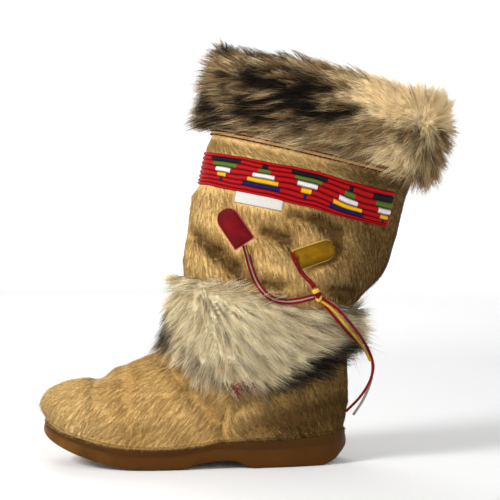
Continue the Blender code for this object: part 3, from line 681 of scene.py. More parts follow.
def hide_flow(points):
    """The hide hair's way in the side view, with a slow wander and a sharp change at the side seam."""
    x, z = points[..., 0], points[..., 2]
    shaft = in_view(0.18 + 1.1 * smooth_step(z + 0.23 * (x + 120), 258, 268), -1.0)
    vamp = in_view(-0.62 - 0.35 * smooth_step(z, 55, 90), -0.78 + 0.25 * smooth_step(z, 55, 90))
    quarter = in_view(0.62 - 0.35 * smooth_step(x, -80, -10), -0.85)
    foot = vamp + (quarter - vamp) * smooth_step(x - side_seam(z), -2.5, 2.5)[..., None]
    flow = foot + (shaft - foot) * smooth_step(z, 105, 125)[..., None]
    return flow + 0.17 * wander(points, 30.0, 21)


def clear_of(patches, points, margin):
    """Where points are outside every patch on the outer side, seen from the side."""
    keep = np.ones(len(points), bool)
    for patch in patches:
        start, end = np.array(patch["start"]), np.array(patch["end"])
        ahead = (end - start) / np.linalg.norm(end - start)
        off = points[:, [0, 2]] - start
        on_it = off @ ahead
        aside = off @ np.array([-ahead[1], ahead[0]])
        inside = (on_it > -margin) & (on_it < np.linalg.norm(end - start) + margin)
        keep &= ~(inside & (np.abs(aside) < patch["width"] / 2 + margin) & (points[:, 1] < 0))
    return keep


# The label and the two tabs, on the outer side of the shaft in the side view: the middle line of each.
LABEL = {"start": (-101.3, 234.4), "end": (-60.6, 226.4), "width": 10.2, "thick": 0.9, "round": 0}
RED_TAB = {"start": (-92.9, 193.6), "end": (-111.5, 222.6), "width": 20.0, "thick": 1.8, "round": 1}
YELLOW_TAB = {"start": (-50.2, 179.6), "end": (-15.4, 191.0), "width": 18.6, "thick": 1.8, "round": 1}
# The ties' middle lines in the side view, where the hair is pressed flat under the ties, so none is grown
# there.
TIE_LINES = (
    (-92.6, 192.4), (-88.0, 175.0), (-84.2, 164.3), (-78.3, 155.0), (-69.6, 148.6), None,
    (-53.4, 186.6), (-47.0, 171.8), (-41.8, 165.6), (-35.1, 157.8),
)
UNDER_TIES = [{"start": a, "end": b, "width": 6.5} for a, b in zip(TIE_LINES, TIE_LINES[1:]) if a and b]


def hide_hairs(name, face, count, seed):
    """One part of the hide's hair, in locks of a few hairs that lie and look alike."""
    draw = np.random.default_rng(seed)
    theta, v = scatter(face, count // HIDE_LOCK, seed)
    middle, normal = face_frame(face, theta, v)
    way = laid(unit(hide_flow(middle)), normal, 0 * theta)
    keep = clear_of((LABEL, RED_TAB, YELLOW_TAB), middle, PATCH_MARGIN)
    keep &= clear_of(UNDER_TIES, middle + HIDE_HAIR_LONG / 2 * way, 0.0)
    middle, normal = middle[keep], normal[keep]
    locks = len(middle)
    way = laid(unit(hide_flow(middle)) + 0.07 * draw.normal(size=(locks, 3)), normal,
               HIDE_HAIR_LIFT + 0.015 * draw.normal(size=locks), 0.05)
    across = unit(np.cross(way, normal))
    dark, pale = hide_tone_and_painted_light(middle)
    dark = dark + 0.06 * draw.normal(size=locks)
    pale = pale + 0.14 * draw.normal(size=locks)
    of_lock = np.repeat(np.arange(locks), HIDE_LOCK)
    count = len(of_lock)
    # Single hairs painted darker: a painted shade for the gaps between hairs.
    dark = dark[of_lock] + GAP_SHADE * (draw.random(count) < GAP_SHADE_SHARE)
    pale = pale[of_lock] + 0.04 + 0.12 * draw.normal(size=count)
    offset = HIDE_LOCK_WIDE * draw.normal(size=(count, 1)) * across[of_lock]
    offset = offset + 1.2 * draw.normal(size=(count, 1)) * way[of_lock]
    hair_way = unit(way[of_lock] - 0.04 * offset + 0.04 * draw.normal(size=(count, 3)))
    length = HIDE_HAIR_LONG * draw.uniform(0.75, 1.15, count)
    thick = HIDE_HAIR_THICK * draw.uniform(0.8, 1.5, count)
    root = middle[of_lock] + offset - HIDE_HAIR_SUNK * normal[of_lock]
    hairs(name, root, hair_way, 0 * root, length, thick, dark, pale, hide_hair, 1)


hide_hairs("shaft_hair", shaft_face, SHAFT_HAIRS, 31)
hide_hairs("strip_hair", strip_face, STRIP_HAIRS, 32)
hide_hairs("foot_hair", foot_face, FOOT_HAIRS, 33)

# The lowest hairs of the hide stand out over the sole's edge, each on its own.
fringe_draw = np.random.default_rng(34)
fringe_root, fringe_normal = face_frame(fringe_face, *scatter(fringe_face, FRINGE_HAIRS, 34, 360, 2))
fringe_flow = unit(hide_flow(fringe_root)) + 0.2 * fringe_draw.normal(size=fringe_root.shape)
fringe_way = laid(fringe_flow, fringe_normal, 0.95 + 0.2 * fringe_draw.normal(size=FRINGE_HAIRS))
fringe_dark, fringe_pale = hide_tone_and_painted_light(fringe_root)
fringe_long = FRINGE_HAIR_LONG * fringe_draw.uniform(0.6, 1.15, FRINGE_HAIRS)
fringe_thick = HIDE_HAIR_THICK * fringe_draw.uniform(1.0, 1.8, FRINGE_HAIRS)
fringe_dark = fringe_dark + 0.3 * (fringe_draw.random(FRINGE_HAIRS) < 0.2)
fringe_pale = fringe_pale + 0.2 * fringe_draw.normal(size=FRINGE_HAIRS)
hairs("edge_hair", fringe_root - 0.2 * fringe_normal, fringe_way, 0 * fringe_way, fringe_long, fringe_thick,
      fringe_dark, fringe_pale, hide_hair, 1)

# Sole
# Crepe-like honey rubber in one moulding: a low heel, an arch and a toe that springs up. Its side has
# a darker upper step against the hide, a fine groove, and an amber lower step that rounds to the tread.
CLEARANCE = 0.3
# The tread's height by x, and the side's profile: the share of the way down, and how far it stands out.
TREAD = {
    -274: 30.0, -262: 21.5, -241: 12.5, -222: 6.8, -203: 2.6, -184: 0.0, -147: 0.0, -132: 4.4,
    -109: 7.0, -99: 5.6, -90: 1.6, -85: 0.0, -25: 0.0, -14: 3.4, -5: 10.5, 4: 18.0,
}
SOLE_SIDE = (
    (0.0, -1.5), (0.0, 1.6), (0.06, 2.4), (0.28, 2.5), (0.31, 2.35), (0.34, 2.7),
    (0.7, 3.4), (0.9, 3.0), (0.975, 1.6), (1.0, -0.6),
)
SOLE_COLUMNS, SOLE_BETWEEN = 220, 3


def plan_loop(theta, out):
    """The sole line's outline seen from above, moved outwards in the plan by out."""
    outline = bare_skin(theta, 0.0)
    tangent = bare_skin(theta + 0.01, 0.0) - bare_skin(theta - 0.01, 0.0)
    normal = np.stack([tangent[:, 1], -tangent[:, 0], 0 * theta], axis=-1)
    return outline + unit(normal) * out


sole_theta = turns(SOLE_COLUMNS)
side = np.array(SOLE_SIDE)
fine = np.linspace(0, len(side) - 1, SOLE_BETWEEN * (len(side) - 1) + 1)
sole_share, sole_out = (through(range(len(side)), side[:, k], fine) for k in (0, 1))
sole_rows = []
for share, out in zip(sole_share, sole_out):
    loop = plan_loop(sole_theta, out)
    top = along(SOLE_LINE, loop[:, 0]) - CLEARANCE
    loop[:, 2] = top + (along(TREAD, loop[:, 0]) - top) * share
    sole_rows.append(loop)
k = np.arange(1, SOLE_COLUMNS // 2 - 1)
across = np.stack([k, k + 1, SOLE_COLUMNS - k - 1, SOLE_COLUMNS - k], -1)
half_way = SOLE_COLUMNS // 2
tips = np.array([[0, 1, SOLE_COLUMNS - 1], [half_way - 1, half_way, half_way + 1]])
last_row = (len(sole_rows) - 1) * SOLE_COLUMNS
rubber, rubber_tree, rubber_shader = new_finish("honey_rubber", 0.5, Specular_IOR_Level=0.07)
rubber_grain, rubber_cloud = noise(rubber_tree, 260.0, 4.0), noise(rubber_tree, 28.0, 3.0)
rubber_place = add(rubber_tree, "TexCoord").outputs["Object"]
rubber_x = add(rubber_tree, "SeparateXYZ", {0: rubber_place}).outputs["X"]
to_toe = spread(rubber_tree, rubber_x, -0.130, -0.205)
toe_honey = mix(rubber_tree, to_toe, linear(79, 46, 8), linear(128, 84, 27))
lower_step = mix(rubber_tree, spread(rubber_tree, rubber_cloud, 0.35, 0.7), toe_honey, linear(71, 41, 8))
upper_step = mix(rubber_tree, rubber_cloud, linear(58, 34, 8), linear(72, 43, 11))
rubber_step = spread(rubber_tree, number(rubber_tree, "step"), 0.26, 0.46)
both_steps = mix(rubber_tree, rubber_step, upper_step, lower_step)
rubber_tree.links.new(both_steps, rubber_shader.inputs["Base Color"])
bump(rubber_tree, rubber_shader, rubber_grain, 0.35, 0.0006)
new_piece(
    "rubber_sole", sole_rows,
    [quads(len(sole_rows), SOLE_COLUMNS), across[:, ::-1], across + last_row, tips[:, ::-1], tips + last_row],
    [rubber], ["outsole"], numbers={"step": np.repeat(sole_share, SOLE_COLUMNS)},
)

# Insole
# The insole is cut from a sheet of thick felt and lies loose in the bottom of the boot. Its solid has
# its shape, and gets the felt.
FELT = {"Low": linear(166, 152, 128), "High": linear(204, 192, 168), "Scale": 700.0, "Detail": 5.0}
felt = grouped("felt_insole", fibre_group, FELT, 0.95, (0.6, 0.0008), Sheen_Weight=0.3)
for slot_of_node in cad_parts["insole"].material_slots:
    slot_of_node.material = felt

# Woven band
# Eight cords wound with coloured thread are sewn round the shaft, one above the other. The thread
# changes colour to draw a row of triangles that point down and up in turn, on a red ground.
BAND_CORDS, BAND_VALLEY, BAND_RIDGE = 8, 1.0, 2.6
BAND_FROM, BAND_TO = math.radians(-147.3), math.radians(147.3)
BAND_COLUMNS, BAND_BETWEEN = 320, 6
# How far the band's edges hang below a level line on the outer side, by x, and how far the cords sway.
BAND_LOW_DROP = {-145: 0.0, -117: -0.5, -76: -0.8, -36: 0.5, -10: 4.4, 10: 7.2, 45: 8.5}
BAND_TOP_DROP = {-145: 0.0, -117: -1.0, -76: -2.2, -36: -2.8, -10: 0.2, 10: 1.6, 45: 1.0}
BAND_SWAY = 0.4
THREADS = {
    "red": (172, 8, 14), "navy": (20, 18, 30), "green": (84, 104, 34),
    "white": (226, 214, 214), "yellow": (232, 170, 22), "blue": (26, 20, 84),
}
# For each cord from the top: its thread in the triangles that point down and up, and their widths.
MOTIF = (
    (None, 0, None, 0), ("navy", 33, "navy", 4.5), ("green", 24, "green", 10), ("white", 16.5, "white", 18.5),
    ("yellow", 9.5, "yellow", 27), ("blue", 3.5, "blue", 34), (None, 0, None, 0), (None, 0, None, 0),
)
MOTIF_REPEAT, MOTIF_START, PLAIN_FRONT = 76.8, -37.7, 0.65
THREAD_PITCH, THREAD_SLANT = 1.5, 2.2


def skin_place(x, z):
    """The (theta, level) at which the outer side of the shaft is seen at x, z from the side, found by
    Newton's steps on the plain face."""
    x, z = np.broadcast_arrays(np.asarray(x, float), np.asarray(z, float))
    theta, level = np.full(x.shape, math.pi / 2), np.full(x.shape, LEVEL["shaft_low"])
    step = 0.001
    for _ in range(25):
        here = bare_skin(theta, level)
        by_theta = (bare_skin(theta + step, level) - here) / step
        by_level = (bare_skin(theta, level + step) - here) / step
        off_x, off_z = x - here[..., 0], z - here[..., 2]
        det = by_theta[..., 0] * by_level[..., 2] - by_level[..., 0] * by_theta[..., 2]
        turn = (off_x * by_level[..., 2] - by_level[..., 0] * off_z) / det
        climb = (by_theta[..., 0] * off_z - off_x * by_theta[..., 2]) / det
        theta = np.clip(theta + np.clip(turn, -0.3, 0.3), 0.05, math.pi - 0.05)
        level = np.clip(level + np.clip(climb, -1, 1), 0.5, len(GIRDLES) - 1.5)
    return theta, level


def run_along(points):
    """The distance along a line of points, at each from the first."""
    return np.append(0, np.cumsum(np.linalg.norm(np.diff(points, axis=0), axis=1)))


# Satin thread wound round a cord: fine slanting ridges that follow the numbers wind, along the cord,
# and ply, across it, with a painted shade in the grooves between them, and a painted deep shade where two
# cords meet.
thread_group, thread_in, thread_out = new_group(
    "wound_thread", {"Bright": "Color", "Low": "Color", "Deep": "Color"},
    {"Color": "Color", "Height": "Float"},
)
wind, ply = number(thread_group, "wind"), number(thread_group, "ply")
slanted = maths(thread_group, "ADD", wind, maths(thread_group, "MULTIPLY", ply, THREAD_SLANT))
ridge = maths(thread_group, "SINE", maths(thread_group, "MULTIPLY", slanted, 2 * math.pi / THREAD_PITCH))
ridge = maths(thread_group, "MULTIPLY", spread(thread_group, ridge, -1, 1), noise(thread_group, 900.0, 3.0))
swell = maths(thread_group, "SINE", maths(thread_group, "MULTIPLY", ply, math.pi))
swell = spread(thread_group, maths(thread_group, "ABSOLUTE", swell), 0.1, 0.85)
wound = mix(thread_group, spread(thread_group, ridge, 0.0, 0.4), thread_in["Low"], thread_in["Bright"])
thread_group.links.new(mix(thread_group, swell, thread_in["Deep"], wound), thread_out["Color"])
thread_group.links.new(ridge, thread_out["Height"])
thread_finishes = []
for name, colour in THREADS.items():
    # Low is the painted shade in the grooves, Deep the painted shade between cords.
    shades = {"Bright": linear(*colour), "Low": shade_of(colour, 0.84), "Deep": shade_of(colour, 0.36)}
    thread_finishes.append(
        grouped(name + "_thread", thread_group, shades, 0.5, (0.45, 0.0004), Specular_IOR_Level=0.07))

band_theta = np.linspace(BAND_FROM, BAND_TO, BAND_COLUMNS)
band_v = np.linspace(0, 1, BAND_CORDS * BAND_BETWEEN + 1)
mid_line = skin(band_theta, LEVEL["band_low"] + 0.5, np.full(BAND_COLUMNS, 2.0))
band_run = run_along(mid_line)
start_theta = skin_place(MOTIF_START, 255.0)[0]
band_run -= np.interp(float(start_theta), band_theta, band_run)
band_low, band_span = LEVEL["band_low"], LEVEL["band_top"] - LEVEL["band_low"]
band_foot, band_head = (skin(band_theta, level, 0 * band_theta) for level in (band_low, band_low + band_span))
level_high = np.linalg.norm(band_head - band_foot, axis=-1) / band_span
on_outer = smooth_step(mid_line[:, 1], 10, -25)
low_drop, top_drop = (along(table, mid_line[:, 0]) * on_outer for table in (BAND_LOW_DROP, BAND_TOP_DROP))
band_drop = low_drop + (top_drop - low_drop) * band_v[:, None]
band_sway = np.stack(np.broadcast_arrays(band_run, BAND_CORDS * 5 * band_v[:, None], 0.0), -1)
band_drop = band_drop + BAND_SWAY * waves(band_sway, 24.0, 51)
band_level = band_low + band_span * band_v[:, None] - band_drop / level_high
round_cord = np.sqrt(np.maximum(1 - (2 * ((band_v * BAND_CORDS) % 1) - 1) ** 2, 0))
# The last two rows run back along the hide, under the cords, and close the band.
band_level = np.concatenate([band_level, band_level[[-1, 0]]])
band_out = np.append(BAND_VALLEY + (BAND_RIDGE - BAND_VALLEY) * round_cord, [CLEARANCE, CLEARANCE])
band_rows = len(band_level)
band_points = skin(band_theta[None, :], band_level, band_out[:, None] + 0 * band_level)
band_end = np.arange(band_rows)[None] * BAND_COLUMNS
band_faces = [
    quads(band_rows, BAND_COLUMNS, rows_close=True, columns_close=False),
    band_end, band_end[:, ::-1] + BAND_COLUMNS - 1,
]
# The thread of each face: by how far it lies from the middle of the next triangle that points down or up.
column_run = (band_run[1:] + band_run[:-1]) / 2
down = np.abs((column_run + MOTIF_REPEAT / 2) % MOTIF_REPEAT - MOTIF_REPEAT / 2)
up = np.abs(column_run % MOTIF_REPEAT - MOTIF_REPEAT / 2)
up[np.abs(band_theta[1:]) < PLAIN_FRONT] = MOTIF_REPEAT
thread_number = {name: i for i, name in enumerate(THREADS)}
charted = np.zeros((BAND_CORDS, BAND_COLUMNS - 1), int)
for cord_row, (down_thread, down_wide, up_thread, up_wide) in enumerate(MOTIF):
    if down_thread:
        charted[cord_row][down < down_wide / 2] = thread_number[down_thread]
        charted[cord_row][up < up_wide / 2] = thread_number[up_thread]
band_picked = np.repeat(charted[::-1], BAND_BETWEEN, axis=0).ravel()
band_picked = np.append(band_picked, np.zeros(sum(len(f) for f in band_faces) - len(band_picked), int))
new_piece(
    "woven_cords", band_points, band_faces, thread_finishes, ["woven_band"], picked=band_picked,
    numbers={"wind": np.tile(band_run, band_rows),
             "ply": np.repeat(np.append(band_v, [1, 0]) * BAND_CORDS, BAND_COLUMNS)},
)

# Piping
# The fur cuff is sewn on with a double piping: two thin dark red cords, each laid up from two plies,
# run side by side round the seam on a tan tape.
PIPING_OUT, PIPING_APART, PIPING_TURNS, PLY_OUT, PLY_THICK = 1.6, 1.7, 70, 0.28, 0.42
TAPE_OUT, TAPE_HALF_WIDE, TAPE_HALF_THICK = 0.9, 2.4, 0.45


def tube(middle, half_wide, half_thick, out_way, side_way, sides=8):
    """A closed tube: at each point of the middle line, an ellipse across it, spanned by the two ways."""
    corner = turns(sides)
    ring = side_way[:, None] * (np.cos(corner) * half_wide)[None, :, None]
    ring = ring + out_way[:, None] * (np.sin(corner) * half_thick)[None, :, None]
    return middle[:, None] + ring


piping_theta = turns(PIPING_TURNS * 7)
seam_here, seam_out, seam_up = skin_frame(piping_theta, np.full(piping_theta.shape, LEVEL["seam"]))
piping = []
for cord_side in (-1, 1):
    for ply_number in (0, 1):
        spin = piping_theta * PIPING_TURNS * cord_side + ply_number * math.pi
        strand = seam_here + seam_out * (PIPING_OUT + PLY_OUT * np.cos(spin))[:, None]
        strand = strand + seam_up * (cord_side * PIPING_APART + PLY_OUT * np.sin(spin))[:, None]
        piping.append(tube(strand, PLY_THICK, PLY_THICK, seam_out, seam_up, 5))
piping.append(tube(seam_here + TAPE_OUT * seam_out, TAPE_HALF_WIDE, TAPE_HALF_THICK, seam_out, seam_up, 5))
ring_faces = quads(len(piping_theta), 5, rows_close=True)[:, ::-1]
new_piece(
    "twisted_piping", piping, [ring_faces + i * len(piping_theta) * 5 for i in range(len(piping))],
    [new_finish("piping_dark", 0.6, Base_Color=linear(78, 22, 18), Specular_IOR_Level=0.25)[0],
     new_finish("piping_brown", 0.6, Base_Color=linear(52, 16, 12), Specular_IOR_Level=0.25)[0],
     new_finish("piping_tan", 0.7, Base_Color=linear(190, 148, 88), Specular_IOR_Level=0.25)[0]],
    ["cuff_piping"], picked=np.repeat([0, 1, 0, 1, 2], len(ring_faces)),
)

# Back seam
# The shaft closes down the back in a seam. A narrow strip of dark leather, rounded on its face, is sewn
# over it, from the anklet up to the piping.
BACK_SEAM = {"theta": math.radians(172), "half": math.radians(1.9), "low": 10.3, "high": 16.85}
WELT_ROWS, WELT_COLUMNS, WELT_EDGE, WELT_HIGH = 120, 9, 0.4, 1.2
seam_levels = np.linspace(BACK_SEAM["low"], BACK_SEAM["high"], WELT_ROWS)[:, None]
seam_turn = np.linspace(-1, 1, WELT_COLUMNS)
welt_out = WELT_EDGE + WELT_HIGH * np.sqrt(np.maximum(1 - seam_turn ** 2, 0)) + 0 * seam_levels
welt_theta = BACK_SEAM["theta"] + BACK_SEAM["half"] * seam_turn[None, :]
welt_over = hide(welt_theta, seam_levels, welt_out)
welt_under = hide(welt_theta, seam_levels, 0 * welt_out - WELT_EDGE)
k, welt_last = np.arange(WELT_COLUMNS - 1), 2 * WELT_COLUMNS - 1
welt_end = np.stack([k, k + 1, welt_last - 1 - k, welt_last - k], -1)
new_piece(
    "back_welt", np.concatenate([welt_over, welt_under[:, ::-1]], axis=1),
    [quads(WELT_ROWS, 2 * WELT_COLUMNS), welt_end[:, ::-1], welt_end + (WELT_ROWS - 1) * 2 * WELT_COLUMNS],
    [new_finish("dark_leather", 0.5, Base_Color=linear(70, 44, 34))[0]], ["back_seam"],
)

# Label and tabs
# A small white woven label is sewn on under the band. Two leather tabs, one red and one olive yellow,
# each with a square and a round end, are sewn to the shaft and hold the ties.
PATCH_GAP, PATCH_BACK = 0.6, 0.1


def patch(name, size, finish, slot, stands_for, power, rows=32, columns=18):
    """A flat piece along its middle line in the side view, laid on the hide, with a rounded edge:
    its face stands out by thick (1 - e^power)^(1/2), where e runs from 0 in the middle to 1 at the edge."""
    start, end = np.array(size["start"]), np.array(size["end"])
    length = np.linalg.norm(end - start)
    ahead = (end - start) / length
    aside = np.array([-ahead[1], ahead[0]])
    half = size["width"] / 2
    u, w = np.meshgrid(np.linspace(-1, 1, rows), np.linspace(-1, 1, columns), indexing="ij")
    along_it = (u + 1) / 2 * length
    if size["round"]:
        over = np.clip((along_it - (length - half)) / half, 0, 1)
        reach = half * np.sqrt(np.maximum(1 - over ** 2, 0.0004))
    else:
        reach = np.full(u.shape, half)
    row = start + ahead * along_it[..., None] + aside * (w * reach)[..., None]
    theta, level = skin_place(row[..., 0], row[..., 1])
    edge = np.maximum(np.abs(w), np.abs(u) ** 3)
    rounded = np.sqrt(np.maximum(1 - edge ** power, 0.0))
    over_face = hide(theta, level, PATCH_GAP + size["thick"] * rounded)
    under_face = hide(theta, level, np.full(theta.shape, PATCH_BACK))
    count = rows * columns
    grid = quads(rows, columns, columns_close=False)
    rim = np.concatenate([np.arange(columns), np.arange(1, rows) * columns + columns - 1,
                          count - 2 - np.arange(columns - 1), (rows - 2 - np.arange(rows - 2)) * columns])
    rim_on = np.roll(rim, -1)
    walls = np.stack([rim, rim_on, rim_on + count, rim + count], -1)
    return new_piece(name, [over_face, under_face], [grid[:, ::-1], grid + count, walls], [finish],
                     stands_for, numbers={"edge": np.append(edge, np.ones(count))})


# Smooth leather is a little blotched, painted darker towards its edge, a painted shade where its puffed face
# turns away, and paler where it is cut.
leather_group, leather_in, leather_out = new_group(
    "smooth_leather", {"Dark": "Color", "Light": "Color", "Edge Shade": "Color", "Cut": "Color"},
    {"Color": "Color", "Height": "Float"},
)
pore, smudge = noise(leather_group, 900.0, 3.0), noise(leather_group, 70.0, 2.0)
to_edge = number(leather_group, "edge")
worn = maths(leather_group, "MULTIPLY", spread(leather_group, smudge, 0.35, 0.65), pore)
face_colour = mix(leather_group, worn, leather_in["Dark"], leather_in["Light"])
# Painted shade towards the edge.
face_colour = mix(leather_group, spread(leather_group, to_edge, 0.35, 0.9), face_colour, leather_in["Edge Shade"])
face_colour = mix(leather_group, spread(leather_group, to_edge, 0.9, 0.96), face_colour, leather_in["Cut"])
leather_group.links.new(face_colour, leather_out["Color"])
leather_group.links.new(pore, leather_out["Height"])


def leather(name, colour, cut_colour):
    """Smooth leather in four shades: three shares of its colour, and that of its cut edge."""
    shades = {
        "Dark": shade_of(colour, 0.74), "Light": shade_of(colour, 1.2),
        "Edge Shade": shade_of(colour, 0.72), "Cut": linear(*cut_colour),
    }
    return grouped(name, leather_group, shades, 0.5, (0.3, 0.0003), Specular_IOR_Level=0.07)


white_weave, weave_tree, weave_shader = new_finish("white_weave", 0.75)
WEAVE = {"Low": linear(160, 157, 149), "High": linear(216, 213, 205), "Scale": 1400.0, "Detail": 2.0}
weave = add(weave_tree, "Group", WEAVE, node_tree=fibre_group).outputs
weave_hem = spread(weave_tree, number(weave_tree, "edge"), 0.9, 0.97)
weave_tree.links.new(mix(weave_tree, weave_hem, weave["Color"], linear(120, 116, 108)),
                     weave_shader.inputs["Base Color"])
bump(weave_tree, weave_shader, weave["Height"], 0.5, 0.0003)
crimson = leather("crimson_leather", (115, 3, 12), (178, 84, 88))
olive = leather("olive_leather", (138, 98, 2), (200, 168, 76))
patch("woven_label", LABEL, white_weave, "label", ["label"], 8)
patch("crimson_tab", RED_TAB, crimson, "red_leather", ["red_tab"], 3)
patch("olive_tab", YELLOW_TAB, olive, "yellow_leather", ["yellow_tab"], 3)

# Fur cuff
# A deep cuff of long mixed fur round the top, brown, black and cream. It is combed from a whorl near
# the back towards the front, stands up over the rim, and hangs over the piping below.
# How deep the fur is, how far it rises over the collar by degrees from the front, and the side's
# profile: the share of its depth by the share of the way up.
CUFF_FUR = {"front": 13.0, "side": 12.0, "back": 20.0}
CUFF_RISE = {0: 21.0, 45: 26.0, 75: 33.0, 100: 31.0, 135: 23.0, 180: 22.0}
CUFF_OUTER = {0.085: 0.36, 0.125: 0.7, 0.22: 1.0, 0.45: 1.1, 0.7: 1.05, 0.95: 0.85, 1.0: 0.8}
PELT_SHARE, PELT_SUNK, HAIR_SUNK = 0.58, 1.2, 1.2
CUFF_START, CUFF_SIDE, PELT_RISE, RIM_IN = 0.17, 0.76, 0.42, 1.5
WHORL = (67.0, 308.5)
CUFF_HAIRS, HAIRS_A_LOCK = 15200, 14
# A few hairs are longer: guard hairs along the rims, and strays all over. Their share and length.
GUARD_SHARE, GUARD_LONG, STRAY_SHARE, STRAY_LONG = 0.07, 1.5, 0.12, 1.2


def by_side(sizes, theta):
    """A size that is named at the front, the side and the back: the side's, plus what the front or the
    back differs from it times cos^2 theta."""
    front = np.maximum(np.cos(theta), 0) ** 2
    back = np.maximum(-np.cos(theta), 0) ** 2
    return sizes["side"] + (sizes["front"] - sizes["side"]) * front + (sizes["back"] - sizes["side"]) * back


def cuff_face(theta, v):
    """The pelt under the cuff's hair: up the side to v = CUFF_SIDE, then over the rim in a half ellipse."""
    theta, v = np.broadcast_arrays(np.asarray(theta, float), np.asarray(v, float))
    thick = by_side(CUFF_FUR, theta) * PELT_SHARE
    up = CUFF_START + (1 - CUFF_START) * np.clip(v / CUFF_SIDE, 0, 1)
    over = np.clip((v - CUFF_SIDE) / (1 - CUFF_SIDE), 0, 1) * math.pi
    rim_out = thick * CUFF_OUTER[1.0]
    over_rim = (rim_out - RIM_IN) / 2 + (rim_out + RIM_IN) / 2 * np.cos(over)
    out = np.where(v < CUFF_SIDE, thick * along(CUFF_OUTER, up), over_rim)
    rise = PELT_RISE * along(CUFF_RISE, from_front(theta)) * np.sin(over)
    level = LEVEL["seam"] + (LEVEL["collar"] - LEVEL["seam"]) * up
    return skin(theta, level, out, rise)


def soft_spots(points, spots):
    """The sum of soft ellipses in the side view: middle, half sizes, degrees of turn, strength, side."""
    total = np.zeros(points.shape[:-1])
    for x, z, half_x, half_z, turn, strength, on_side in spots:
        turn = math.radians(turn)
        off_x, off_z = points[..., 0] - x, points[..., 2] - z
        along_it = off_x * math.cos(turn) + off_z * math.sin(turn)
        over_it = -off_x * math.sin(turn) + off_z * math.cos(turn)
        apart = np.sqrt((along_it / half_x) ** 2 + (over_it / half_z) ** 2)
        here = 1.0 if on_side == 0 else smooth_step(on_side * points[..., 1], -10, 10)
        total += strength * here * (1 - smooth_step(apart, 0.45, 1.3))
    return total


# The cuff's dark and pale areas, as soft spots.
CUFF_DARK = (
    (-66.0, 334.0, 50, 13, -9, 1.05, -1), (-53.0, 308.0, 58, 15, -2, 1.1, -1),
    (-84.0, 321.0, 30, 14, -5, 0.4, -1), (-130.0, 308.0, 9, 26, 0, 0.9, -1),
    (-112.0, 312.0, 20, 24, 0, 0.55, -1), (-91.0, 360.0, 52, 9, -4, 0.8, 0),
    (-118.0, 293.0, 20, 8, -10, 0.5, -1), (-130.0, 334.0, 7, 28, 0, 0.6, -1),
    (-72.0, 361.0, 62, 6, -8, 0.6, -1), (-48.0, 284.0, 66, 10, -12, 0.28, -1),
    (72.0, 276.0, 14, 18, 0, 0.15, -1), (54.0, 284.0, 4, 24, -6, 0.4, -1),
    (90.0, 296.0, 8, 20, 0, 0.2, 0), (-20.0, 330.0, 26, 12, 12, 0.8, 1),
    (-80.0, 312.0, 24, 10, -8, 0.6, 1), (30.0, 300.0, 18, 12, 0, 0.5, 1),
)
CUFF_PALE = (
    (42.0, 318.0, 50, 26, -8, 1.5, -1), (26.0, 314.0, 42, 6, -6, 0.5, -1),
    (33.0, 267.0, 26, 16, -20, 1.0, -1), (-48.0, 282.0, 62, 9, -12, 0.15, -1),
    (80.0, 310.0, 24, 26, 0, 0.8, -1), (66.0, 280.0, 16, 20, 0, 0.35, -1),
    (-20.0, 342.0, 34, 8, -14, 0.22, -1), (80.0, 318.0, 20, 20, 0, 0.3, 0),
    (40.0, 330.0, 40, 12, -10, 0.3, 1),
)


def cuff_tones(points):
    """How dark and how pale the cuff's fur is: the soft spots, with streaks along the hair."""
    streak = waves(points * (0.3, 1.0, 1.5), 10.0, 41)
    dark = soft_spots(points, CUFF_DARK) * (1 + 0.5 * streak) + 0.1 * streak - 0.04
    pale = 0.12 + soft_spots(points, CUFF_PALE) + 0.14 * waves(points * (0.3, 1.0, 1.5), 12.0, 42)
    return dark, pale


def cuff_flow(points):
    """Away from the whorl in the side view, mostly towards the front, and up near the rim and the back."""
    x, z = points[..., 0], points[..., 2]
    ahead = smooth_step(x, WHORL[0] + 5, WHORL[0] - 35)
    away = unit(in_view(x - WHORL[0], z - WHORL[1])) + in_view(-0.8 * ahead, 0.016 * ahead)
    front_x, front_z, back_x, back_z = GIRDLES["seam"][:4]
    over_seam = z - (front_z + (back_z - front_z) * (x - front_x) / (back_x - front_x))
    high = smooth_step(over_seam, 46, 74)
    low = (1 - smooth_step(over_seam, 4, 24)) * ahead
    at_front, at_back = smooth_step(x, -106, -124), smooth_step(x, 0, 70)
    rise = 0.85 * high + 0.04 * low - 0.4 * at_front * (1 - high) + at_back * (0.65 + 0.75 * high)
    return away + in_view(0.0, rise) + 0.15 * wander(points, 22.0, 43)


